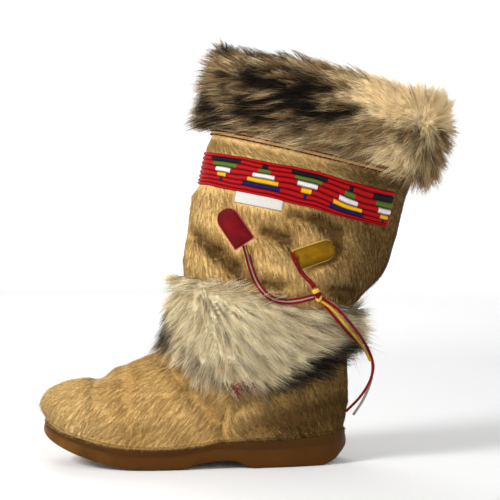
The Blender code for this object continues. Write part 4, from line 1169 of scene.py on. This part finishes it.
def fur(name, face, places, seed, flow, tones, finish, length, lift, sag, thick=0.4, spread_out=2.6):
    """Long fur in locks. The hairs of a lock start round its middle and their tips draw together:
    each hair ends at the lock's tip plus a share of its own offset."""
    draw = np.random.default_rng(seed)
    theta, v = places
    middle, normal = face_frame(face, theta, v)
    locks = len(theta)
    way = laid(unit(flow(middle)) + 0.07 * draw.normal(size=(locks, 3)), normal,
               lift + 0.13 * draw.normal(size=locks))
    lock_long = length * draw.uniform(0.75, 1.15, locks)
    curl = 0.07 * draw.normal(size=(locks, 3))
    of_lock = np.repeat(np.arange(locks), HAIRS_A_LOCK)
    count = len(of_lock)
    across = unit(np.cross(way, normal))
    onward = unit(np.cross(normal, across))
    offset = draw.normal(size=(count, 1)) * across[of_lock] + draw.normal(size=(count, 1)) * onward[of_lock]
    offset = spread_out * offset
    root = middle[of_lock] + offset - HAIR_SUNK * normal[of_lock]
    target = middle[of_lock] + lock_long[of_lock, None] * way[of_lock] + 0.5 * offset
    target = target + 0.04 * lock_long[of_lock, None] * draw.normal(size=(count, 3))
    run = target - root
    rim = (middle[:, 0] < 50) | ((normal[:, 2] > 0.5) & (middle[:, 0] < 74))
    guard = (draw.random(count) < GUARD_SHARE) & (rim & (np.abs(normal[:, 1]) < 0.6))[of_lock]
    stray = np.where(guard, GUARD_LONG, np.where(draw.random(count) < STRAY_SHARE, STRAY_LONG, 1.0))
    long = np.linalg.norm(run, axis=1) * draw.uniform(0.7, 1.08, count) * stray
    hair_way = unit(run)
    bend = -sag * normal[of_lock] + curl[of_lock] + (0, 0, -0.08)
    dark, pale = tones(root + 0.55 * long[:, None] * hair_way)
    lock_dark, lock_pale = 0.1 * draw.normal(size=locks), 0.26 * draw.normal(size=locks)
    dark = dark + lock_dark[of_lock] + 0.13 * draw.normal(size=count) + 0.3 * guard
    pale = pale + lock_pale[of_lock] + 0.2 * draw.normal(size=count)
    thick = thick * draw.uniform(0.7, 1.4, count)
    hairs(name, root, hair_way, bend, long, thick, dark, pale, finish, 2)


def pelt(name, face, inner, v_rows, columns, tones, finish, stands_for):
    """The skin that the fur grows on, a closed ring: its outer face, then its inner one back down."""
    theta = turns(columns)
    outer = face(theta[None, :], v_rows[:, None])
    points = np.concatenate([outer, inner(theta[None, :])])
    dark, pale = tones(points)
    # The pelt is painted darker than its hair and shaded as at the hairs' roots: a painted shade deep in the
    # fur.
    numbers = {"coat": coat_numbers(dark + 0.1, pale - 0.1, 0.1), "root": points.reshape(-1, 3) * MM}
    return new_piece(name, points, [quads(len(points), columns, rows_close=True)], [finish], stands_for,
                     numbers=numbers)


def cuff_inside(theta):
    """The cuff pelt's inner face, just inside the hide's."""
    span = LEVEL["collar"] - LEVEL["seam"]
    levels = LEVEL["seam"] + span * np.array([0.95, 0.5, 0.1])[:, None] + 0 * theta
    return skin(theta, levels, np.full(levels.shape, -PELT_SUNK))


BROWN_COLOURS = {"mid": linear(144, 112, 72), "pale": linear(255, 229, 178), "dark": linear(28, 20, 11)}
brown_coat = new_coat("brown_fur_hair", **BROWN_COLOURS, lock_size=150.0, root_shade=0.64, roughness=0.55)
pelt("cuff_pelt", cuff_face, cuff_inside, np.linspace(0, 1, 42), 140, cuff_tones, brown_coat,
     ["cuff_fur"])
cuff_theta, cuff_v = scatter(cuff_face, 2 * CUFF_HAIRS // HAIRS_A_LOCK, 51)
for name, on_side in (("cuff_hair_outer", cuff_theta < math.pi), ("cuff_hair_inner", cuff_theta >= math.pi)):
    fur(name, cuff_face, (cuff_theta[on_side], cuff_v[on_side]), 52, cuff_flow, cuff_tones, brown_coat,
        length=22.0, lift=0.36, sag=0.14)

# Fur anklet
# A deep ring of long cream fur round the instep and the ankle, with grey and black patches. On the
# outer side it parts over the instep, to the front and to the back, and its hem hides the hide's seam.
# How deep the fur is, and its profile, as for the cuff.
ANKLE_FUR = {"front": 20.0, "side": 10.0, "back": 9.0}
ANKLE_OUTER = {0.0: 0.28, 0.1: 0.62, 0.28: 0.92, 0.5: 1.05, 0.72: 0.95, 0.9: 0.6, 1.0: 0.22}
ANKLE_HAIRS, ANKLE_START, ANKLE_SPAN = 19400, 0.1, 0.88
PARTING = (-133.0, 174.0)
# The parting's x by its height.
PARTING_LINE = {105: -110.0, 112: -113.0, 130: -124.0, 153: -130.5}


def ankle_level(theta, share):
    """The level at a share of the way from the anklet's lower edge to its upper one."""
    low, high = along(ANKLE_LOW, from_front(theta)), along(ANKLE_HIGH, from_front(theta))
    return low + (high - low) * share


def ankle_face(theta, v):
    """The pelt under the anklet's hair, between its lower and upper edge."""
    theta, v = np.broadcast_arrays(np.asarray(theta, float), np.asarray(v, float))
    share = ANKLE_START + ANKLE_SPAN * v
    out = by_side(ANKLE_FUR, theta) * PELT_SHARE * along(ANKLE_OUTER, share)
    return skin(theta, ankle_level(theta, share), out)


def ankle_inside(theta):
    """The anklet pelt's inner face, just inside the hide's."""
    levels = ankle_level(theta, np.array([0.95, 0.5, 0.12])[:, None])
    return skin(theta, levels, np.full(levels.shape, -PELT_SUNK))


# The anklet's dark and pale areas, as soft spots: its grey and black hair, with painted shade along the hem
# and down the parting.
ANKLE_DARK = (
    (7.0, 135.0, 16, 9, -10, 0.8, -1), (-20.0, 86.0, 54, 16, 28, 1.25, -1),
    (-168.0, 116.0, 12, 24, 14, 1.0, -1), (-162.0, 158.0, 9, 9, 0, 0.5, -1),
    (-119.0, 128.0, 26, 4, -64, 0.35, -1), (-10.0, 116.0, 20, 9, 20, 0.3, -1),
    (-28.0, 130.0, 44, 8, -8, 0.2, -1), (-128.0, 82.0, 30, 8, -38, 0.5, -1),
    (-84.0, 64.0, 34, 8, 8, 0.5, -1), (-34.0, 84.0, 36, 18, 16, 0.85, 1),
    (-10.0, 130.0, 16, 9, 0, 0.5, 1),
)
ANKLE_PALE = ((-90.0, 112.0, 60, 30, -10, 0.3, 0),)


def ankle_tone_and_painted_shade(points):
    """How dark and how pale the anklet's fur is: the soft spots, with streaks fanned from the parting that
    are painted shade between the locks and painted light on them.
    """
    x, z = points[..., 0] - PARTING[0], points[..., 2] - PARTING[1]
    fan = waves(np.stack([60 * np.arctan2(z, x), 0.3 * np.hypot(x, z), 0 * x], -1), 4.0, 61)
    # The fan's streaks: painted shade between the locks, painted light on them.
    dark = soft_spots(points, ANKLE_DARK) * (1 + 0.3 * fan) - 0.34 * fan - 0.08
    pale = 0.56 + soft_spots(points, ANKLE_PALE) + 0.22 * fan + 0.12 * waves(points, 14.0, 62)
    return dark, pale


def ankle_flow(points):
    """Fanned out from the top of the parting on the outer side, up along the upper edge and flatter at
    the heel; straight down on the inner side."""
    x, y, z = points[..., 0], points[..., 1], points[..., 2]
    by_lock = waves(points, 5.0, 66)
    ahead = smooth_step(along(PARTING_LINE, np.clip(z, 105, 153)) - x + 4 * by_lock, -2, 3)
    outer = unit(in_view(x - PARTING[0], z - PARTING[1]))
    outer = outer + ahead[..., None] * (-0.55, 0, 0) + (1 - ahead)[..., None] * (0.25, 0, 0)
    flow = outer + (in_view(0.05, -1.0) - outer) * smooth_step(y, -15, 15)[..., None]
    top = 158.0 - 0.13 * (x + 142.0)
    flow = flow + in_view(0.0, 0.9 * smooth_step(z - top + 4 * by_lock, -8, -3))
    rear = smooth_step(x, -84, -44) * smooth_step(y, 10, -10) * smooth_step(z - 0.5 * x, 150, 120)
    return flow + in_view(0.4 * rear, 0.42 * rear) + 0.14 * wander(points, 20.0, 63)


CREAM_COLOURS = {"mid": linear(238, 209, 158), "pale": linear(255, 242, 203), "dark": linear(34, 27, 22)}
cream_coat = new_coat("cream_fur_hair", **CREAM_COLOURS, lock_size=150.0, root_shade=0.5, roughness=0.55)
pelt("ankle_pelt", ankle_face, ankle_inside, np.linspace(0, 1, 30), 140, ankle_tone_and_painted_shade, cream_coat,
     ["ankle_fur"])
ankle_places = scatter(ankle_face, ANKLE_HAIRS // HAIRS_A_LOCK, 71)
fur("ankle_hair", ankle_face, ankle_places, 72, ankle_flow, ankle_tone_and_painted_shade, cream_coat,
    length=20.5, lift=0.34, sag=0.15)

# Thong tuft
# A thin maroon thong is tied round the boot under the anklet. Only its frayed ends show, a small tuft
# at the anklet's hem on the outer side.
TUFT_HAIRS, TUFT_OUT, TUFT_HAIR_THICK = 70, 8.4, 0.55
tuft_draw = np.random.default_rng(81)
tuft_x, tuft_z = tuft_draw.uniform(-107, -87, TUFT_HAIRS), tuft_draw.uniform(67, 77, TUFT_HAIRS)
tuft_root, tuft_normal, _ = skin_frame(*skin_place(tuft_x, tuft_z))
tuft_flow = np.array([0.5, 0.0, -0.6]) + 0.8 * tuft_draw.normal(size=(TUFT_HAIRS, 3))
tuft_way = laid(tuft_flow, tuft_normal, np.full(TUFT_HAIRS, 0.2))
tuft_long, tuft_thick = tuft_draw.uniform(4, 8, TUFT_HAIRS), np.full(TUFT_HAIRS, TUFT_HAIR_THICK)
no_tone = np.zeros(TUFT_HAIRS)
maroon = new_finish("maroon_thong", 0.7, Base_Color=linear(128, 52, 60), Specular_IOR_Level=0.2)[0]
hairs("thong_tuft", tuft_root + TUFT_OUT * tuft_normal, tuft_way, 0 * tuft_way, tuft_long, tuft_thick,
      no_tone, no_tone, maroon, 2)

# Ties
# Flat leather strips come from under the tabs, three side by side in the front tie, two in the rear
# one. They meet at two yellow beads, and four narrow ends hang from these over the anklet.
# The ties' middle lines: x and z in the side view, and how far each point stands out of the hide.
TIES = {
    "tie_front": (
        (-92.6, 192.4, 2.6), (-90.7, 185.6, 2.6), (-88.0, 175.0, 2.6), (-84.2, 164.3, 3.0),
        (-78.3, 155.0, 3.8), (-69.6, 148.6, 4.6), (-59.3, 146.6, 5.2), (-48.9, 147.6, 5.6),
        (-40.8, 149.5, 5.8), (-35.0, 151.0, 6.0),
    ),
    "tie_rear": (
        (-53.4, 186.6, 2.6), (-51.4, 180.6, 2.6), (-47.0, 171.8, 3.0), (-41.8, 165.6, 3.3),
        (-37.7, 161.8, 3.8), (-35.1, 157.8, 4.3),
    ),
}
# The hanging ends' middle lines: x, y and z.
TIE_ENDS = {
    "end_red_short": (
        (-28.2, -47.8, 144.9), (-21.4, -48.6, 136.8), (-11.7, -46.0, 125.4), (-0.9, -38.0, 113.6),
        (10.6, -29.0, 103.5),
    ),
    "end_yellow": (
        (-28.2, -50.3, 144.9), (-18.4, -50.8, 137.6), (-8.4, -48.0, 126.0), (2.1, -40.0, 113.8),
        (11.5, -31.5, 102.2), (17.5, -27.5, 90.9),
    ),
    "end_red_long": (
        (-27.2, -50.3, 147.3), (-14.6, -49.6, 138.8), (-3.7, -46.2, 126.8), (6.9, -38.0, 114.2),
        (15.2, -29.0, 101.6), (20.4, -24.5, 88.3), (19.6, -23.0, 77.6), (15.0, -22.5, 67.0),
        (7.5, -22.0, 56.5), (-3.2, -22.0, 45.9),
    ),
    "end_grey_long": (
        (-27.2, -47.8, 147.3), (-16.0, -46.8, 140.8), (-5.0, -43.2, 129.0), (6.0, -34.8, 115.9),
        (14.7, -25.6, 102.6), (20.2, -21.0, 88.6), (19.9, -19.8, 76.1), (16.7, -19.3, 65.0),
        (11.4, -19.2, 53.9), (3.7, -19.2, 42.4),
    ),
}
BEADS = {
    "bead_upper": {"middle": (-32.9, -50.5, 153.4), "slope": -68, "across": 7.0, "long": 4.0},
    "bead_lower": {"middle": (-30.2, -49.0, 147.2), "slope": -25, "across": 6.6, "long": 4.6},
}
BEAD_HOLE, BEAD_ROUND, BEAD_SECTION = 2.6, 40, 18
# The routes are followed in steps of this, and a strip that ends early lies this far over the others.
ROUTE_STEP, OVER_OTHERS = 1.5, 0.7


def smooth_route(points, spacing):
    """Evenly spaced points of a smooth curve through the route's own points: between two of them, the
    cubic whose slope at each is half the step from the point before it to the one after."""
    points = np.array(points, float)
    far = run_along(points)
    fine = np.linspace(0, far[-1], 20 * len(points))
    before, after = points[:1] - (points[1] - points[0]), points[-1:] + (points[-1] - points[-2])
    padded = np.concatenate([before, points, after])
    cell = np.clip(np.searchsorted(far, fine, side="right") - 1, 0, len(points) - 2)
    t = ((fine - far[cell]) / (far[cell + 1] - far[cell]))[:, None]
    a, b, c, d = (padded[cell + k] for k in range(4))
    curve = 2 * b + (c - a) * t + (2 * a - 5 * b + 4 * c - d) * t * t + (3 * b - a - 3 * c + d) * t ** 3
    curve = curve / 2
    far = run_along(curve)
    even = np.linspace(0, far[-1], max(3, round(far[-1] / spacing) + 1))
    return np.stack([np.interp(even, far, curve[:, k]) for k in range(3)], axis=-1)


def strips_along(name, middle, strips, finishes, stands_for):
    """Flat strips side by side along one middle line, each an eight-sided flat tube closed at its ends:
    strips gives for each its offset across the line, width, thickness, finish and share of the length."""
    ahead, outwards = unit(np.gradient(middle, axis=0)), np.array([0.0, -1.0, 0.0])
    out_way = unit(outwards - ahead * (ahead @ outwards)[:, None])
    side_way = np.cross(ahead, out_way)
    points, walls, picked, first = [], [], [], 0
    for offset, wide, thick, finish_number, share in strips:
        count = max(3, round(len(middle) * share))
        line = (middle + side_way * offset + out_way * (OVER_OTHERS if share < 1 else 0.0))[:count]
        points.append(tube(line, wide / 2, thick / 2, out_way[:count], side_way[:count]).reshape(-1, 3))
        cap = np.array([[0, 1, 2, 3], [0, 3, 4, 7], [4, 5, 6, 7]])
        faces = np.concatenate([quads(count, 8)[:, ::-1], cap, cap[:, ::-1] + (count - 1) * 8]) + first
        walls.append(faces)
        picked.append(np.full(len(faces), finish_number))
        first += count * 8
    return new_piece(name, np.concatenate(points), [np.concatenate(walls)], finishes, stands_for,
                     picked=np.concatenate(picked), numbers={"edge": np.zeros(first)})


dark_red = leather("dark_red_strip", (124, 8, 18), (180, 110, 110))
grey_strip = leather("grey_strip", (156, 147, 132), (200, 192, 176))
yellow_strip = leather("yellow_strip", (186, 148, 40), (222, 202, 130))
glossy = new_finish(
    "glossy_bead", 0.18, Base_Color=linear(214, 160, 34), Coat_Weight=0.6, Coat_Roughness=0.08,
)[0]


def bead(name, size):
    """A turned bead: a ring of elliptical section spun round its hole's axis."""
    spin, section = turns(BEAD_ROUND)[:, None], turns(BEAD_SECTION)[None, :]
    wide = (size["across"] + BEAD_HOLE) / 4 + (size["across"] - BEAD_HOLE) / 4 * np.cos(section)
    tall = size["long"] / 2 * np.sin(section) + 0 * spin
    own = np.stack([wide * np.cos(spin), wide * np.sin(spin), tall], -1)
    tilt = math.radians(90 - size["slope"])
    turned = np.stack([own[..., 0] * math.cos(tilt) + own[..., 2] * math.sin(tilt), own[..., 1],
                       own[..., 2] * math.cos(tilt) - own[..., 0] * math.sin(tilt)], -1)
    return new_piece("glossy_" + name, turned + np.array(size["middle"]),
                     [quads(BEAD_ROUND, BEAD_SECTION, rows_close=True)], [glossy], [name])


beads = {name: bead(name, size) for name, size in BEADS.items()}
# The small knot between the beads: an overhand knot drawn from its usual curve of three lobes.
KNOT, KNOT_SIZE, KNOT_THICK, KNOT_POINTS = (-31.2, -52.2, 150.2), 0.85, 0.75, 120
t = turns(KNOT_POINTS)
knot_line = np.stack([np.sin(t) + 2 * np.sin(2 * t), 0.9 * np.sin(3 * t), np.cos(t) - 2 * np.cos(2 * t)], -1)
knot_line = knot_line * KNOT_SIZE
knot_ahead = unit(np.roll(knot_line, -1, axis=0) - np.roll(knot_line, 1, axis=0))
knot_side = unit(np.cross(knot_ahead, (0.0, 1.0, 0.0)))
knot_points = tube(knot_line + KNOT, KNOT_THICK, KNOT_THICK, np.cross(knot_ahead, knot_side), knot_side)
knot = new_piece("tie_knot", knot_points, [quads(KNOT_POINTS, 8, rows_close=True)[:, ::-1]], [dark_red],
                 numbers={"edge": np.zeros(KNOT_POINTS * 8)})
# The strips of each tie: offset across its line, width, thickness, finish and share of its length.
TIE_STRIPS = {
    "tie_front": (
        (-1.6, 1.9, 1.1, 0, 1.0), (0.0, 1.3, 1.0, 1, 1.0), (1.6, 1.9, 1.1, 0, 1.0),
        (-2.3, 1.8, 1.1, 2, 0.12),
    ),
    "tie_rear": ((-0.95, 1.8, 1.2, 0, 1.0), (0.95, 1.8, 1.2, 0, 1.0)),
}
TIE_WIDE, END_WIDE, END_THICK = {"tie_front": 5.4, "tie_rear": 3.8}, 2.4, 1.3
tie_finishes = [dark_red, grey_strip, yellow_strip]
for name, route in TIES.items():
    x, z, out = np.array(route).T
    theta, level = skin_place(x, z)
    middle = smooth_route(skin(theta, level, out), ROUTE_STEP)
    piece = strips_along(name + "_strips", middle, TIE_STRIPS[name], tie_finishes, [name])
END_FINISH = {
    "red": (dark_red, "red_leather"), "yellow": (yellow_strip, "yellow_leather"),
    "grey": (grey_strip, "grey_cord"),
}
for name, route in TIE_ENDS.items():
    middle = smooth_route(route, ROUTE_STEP)
    finish, slot = END_FINISH[name.split("_")[1]]
    strip = (0.0, END_WIDE, END_THICK, 0, 1.0)
    piece = strips_along(name + "_strip", middle, [strip], [finish], [name])
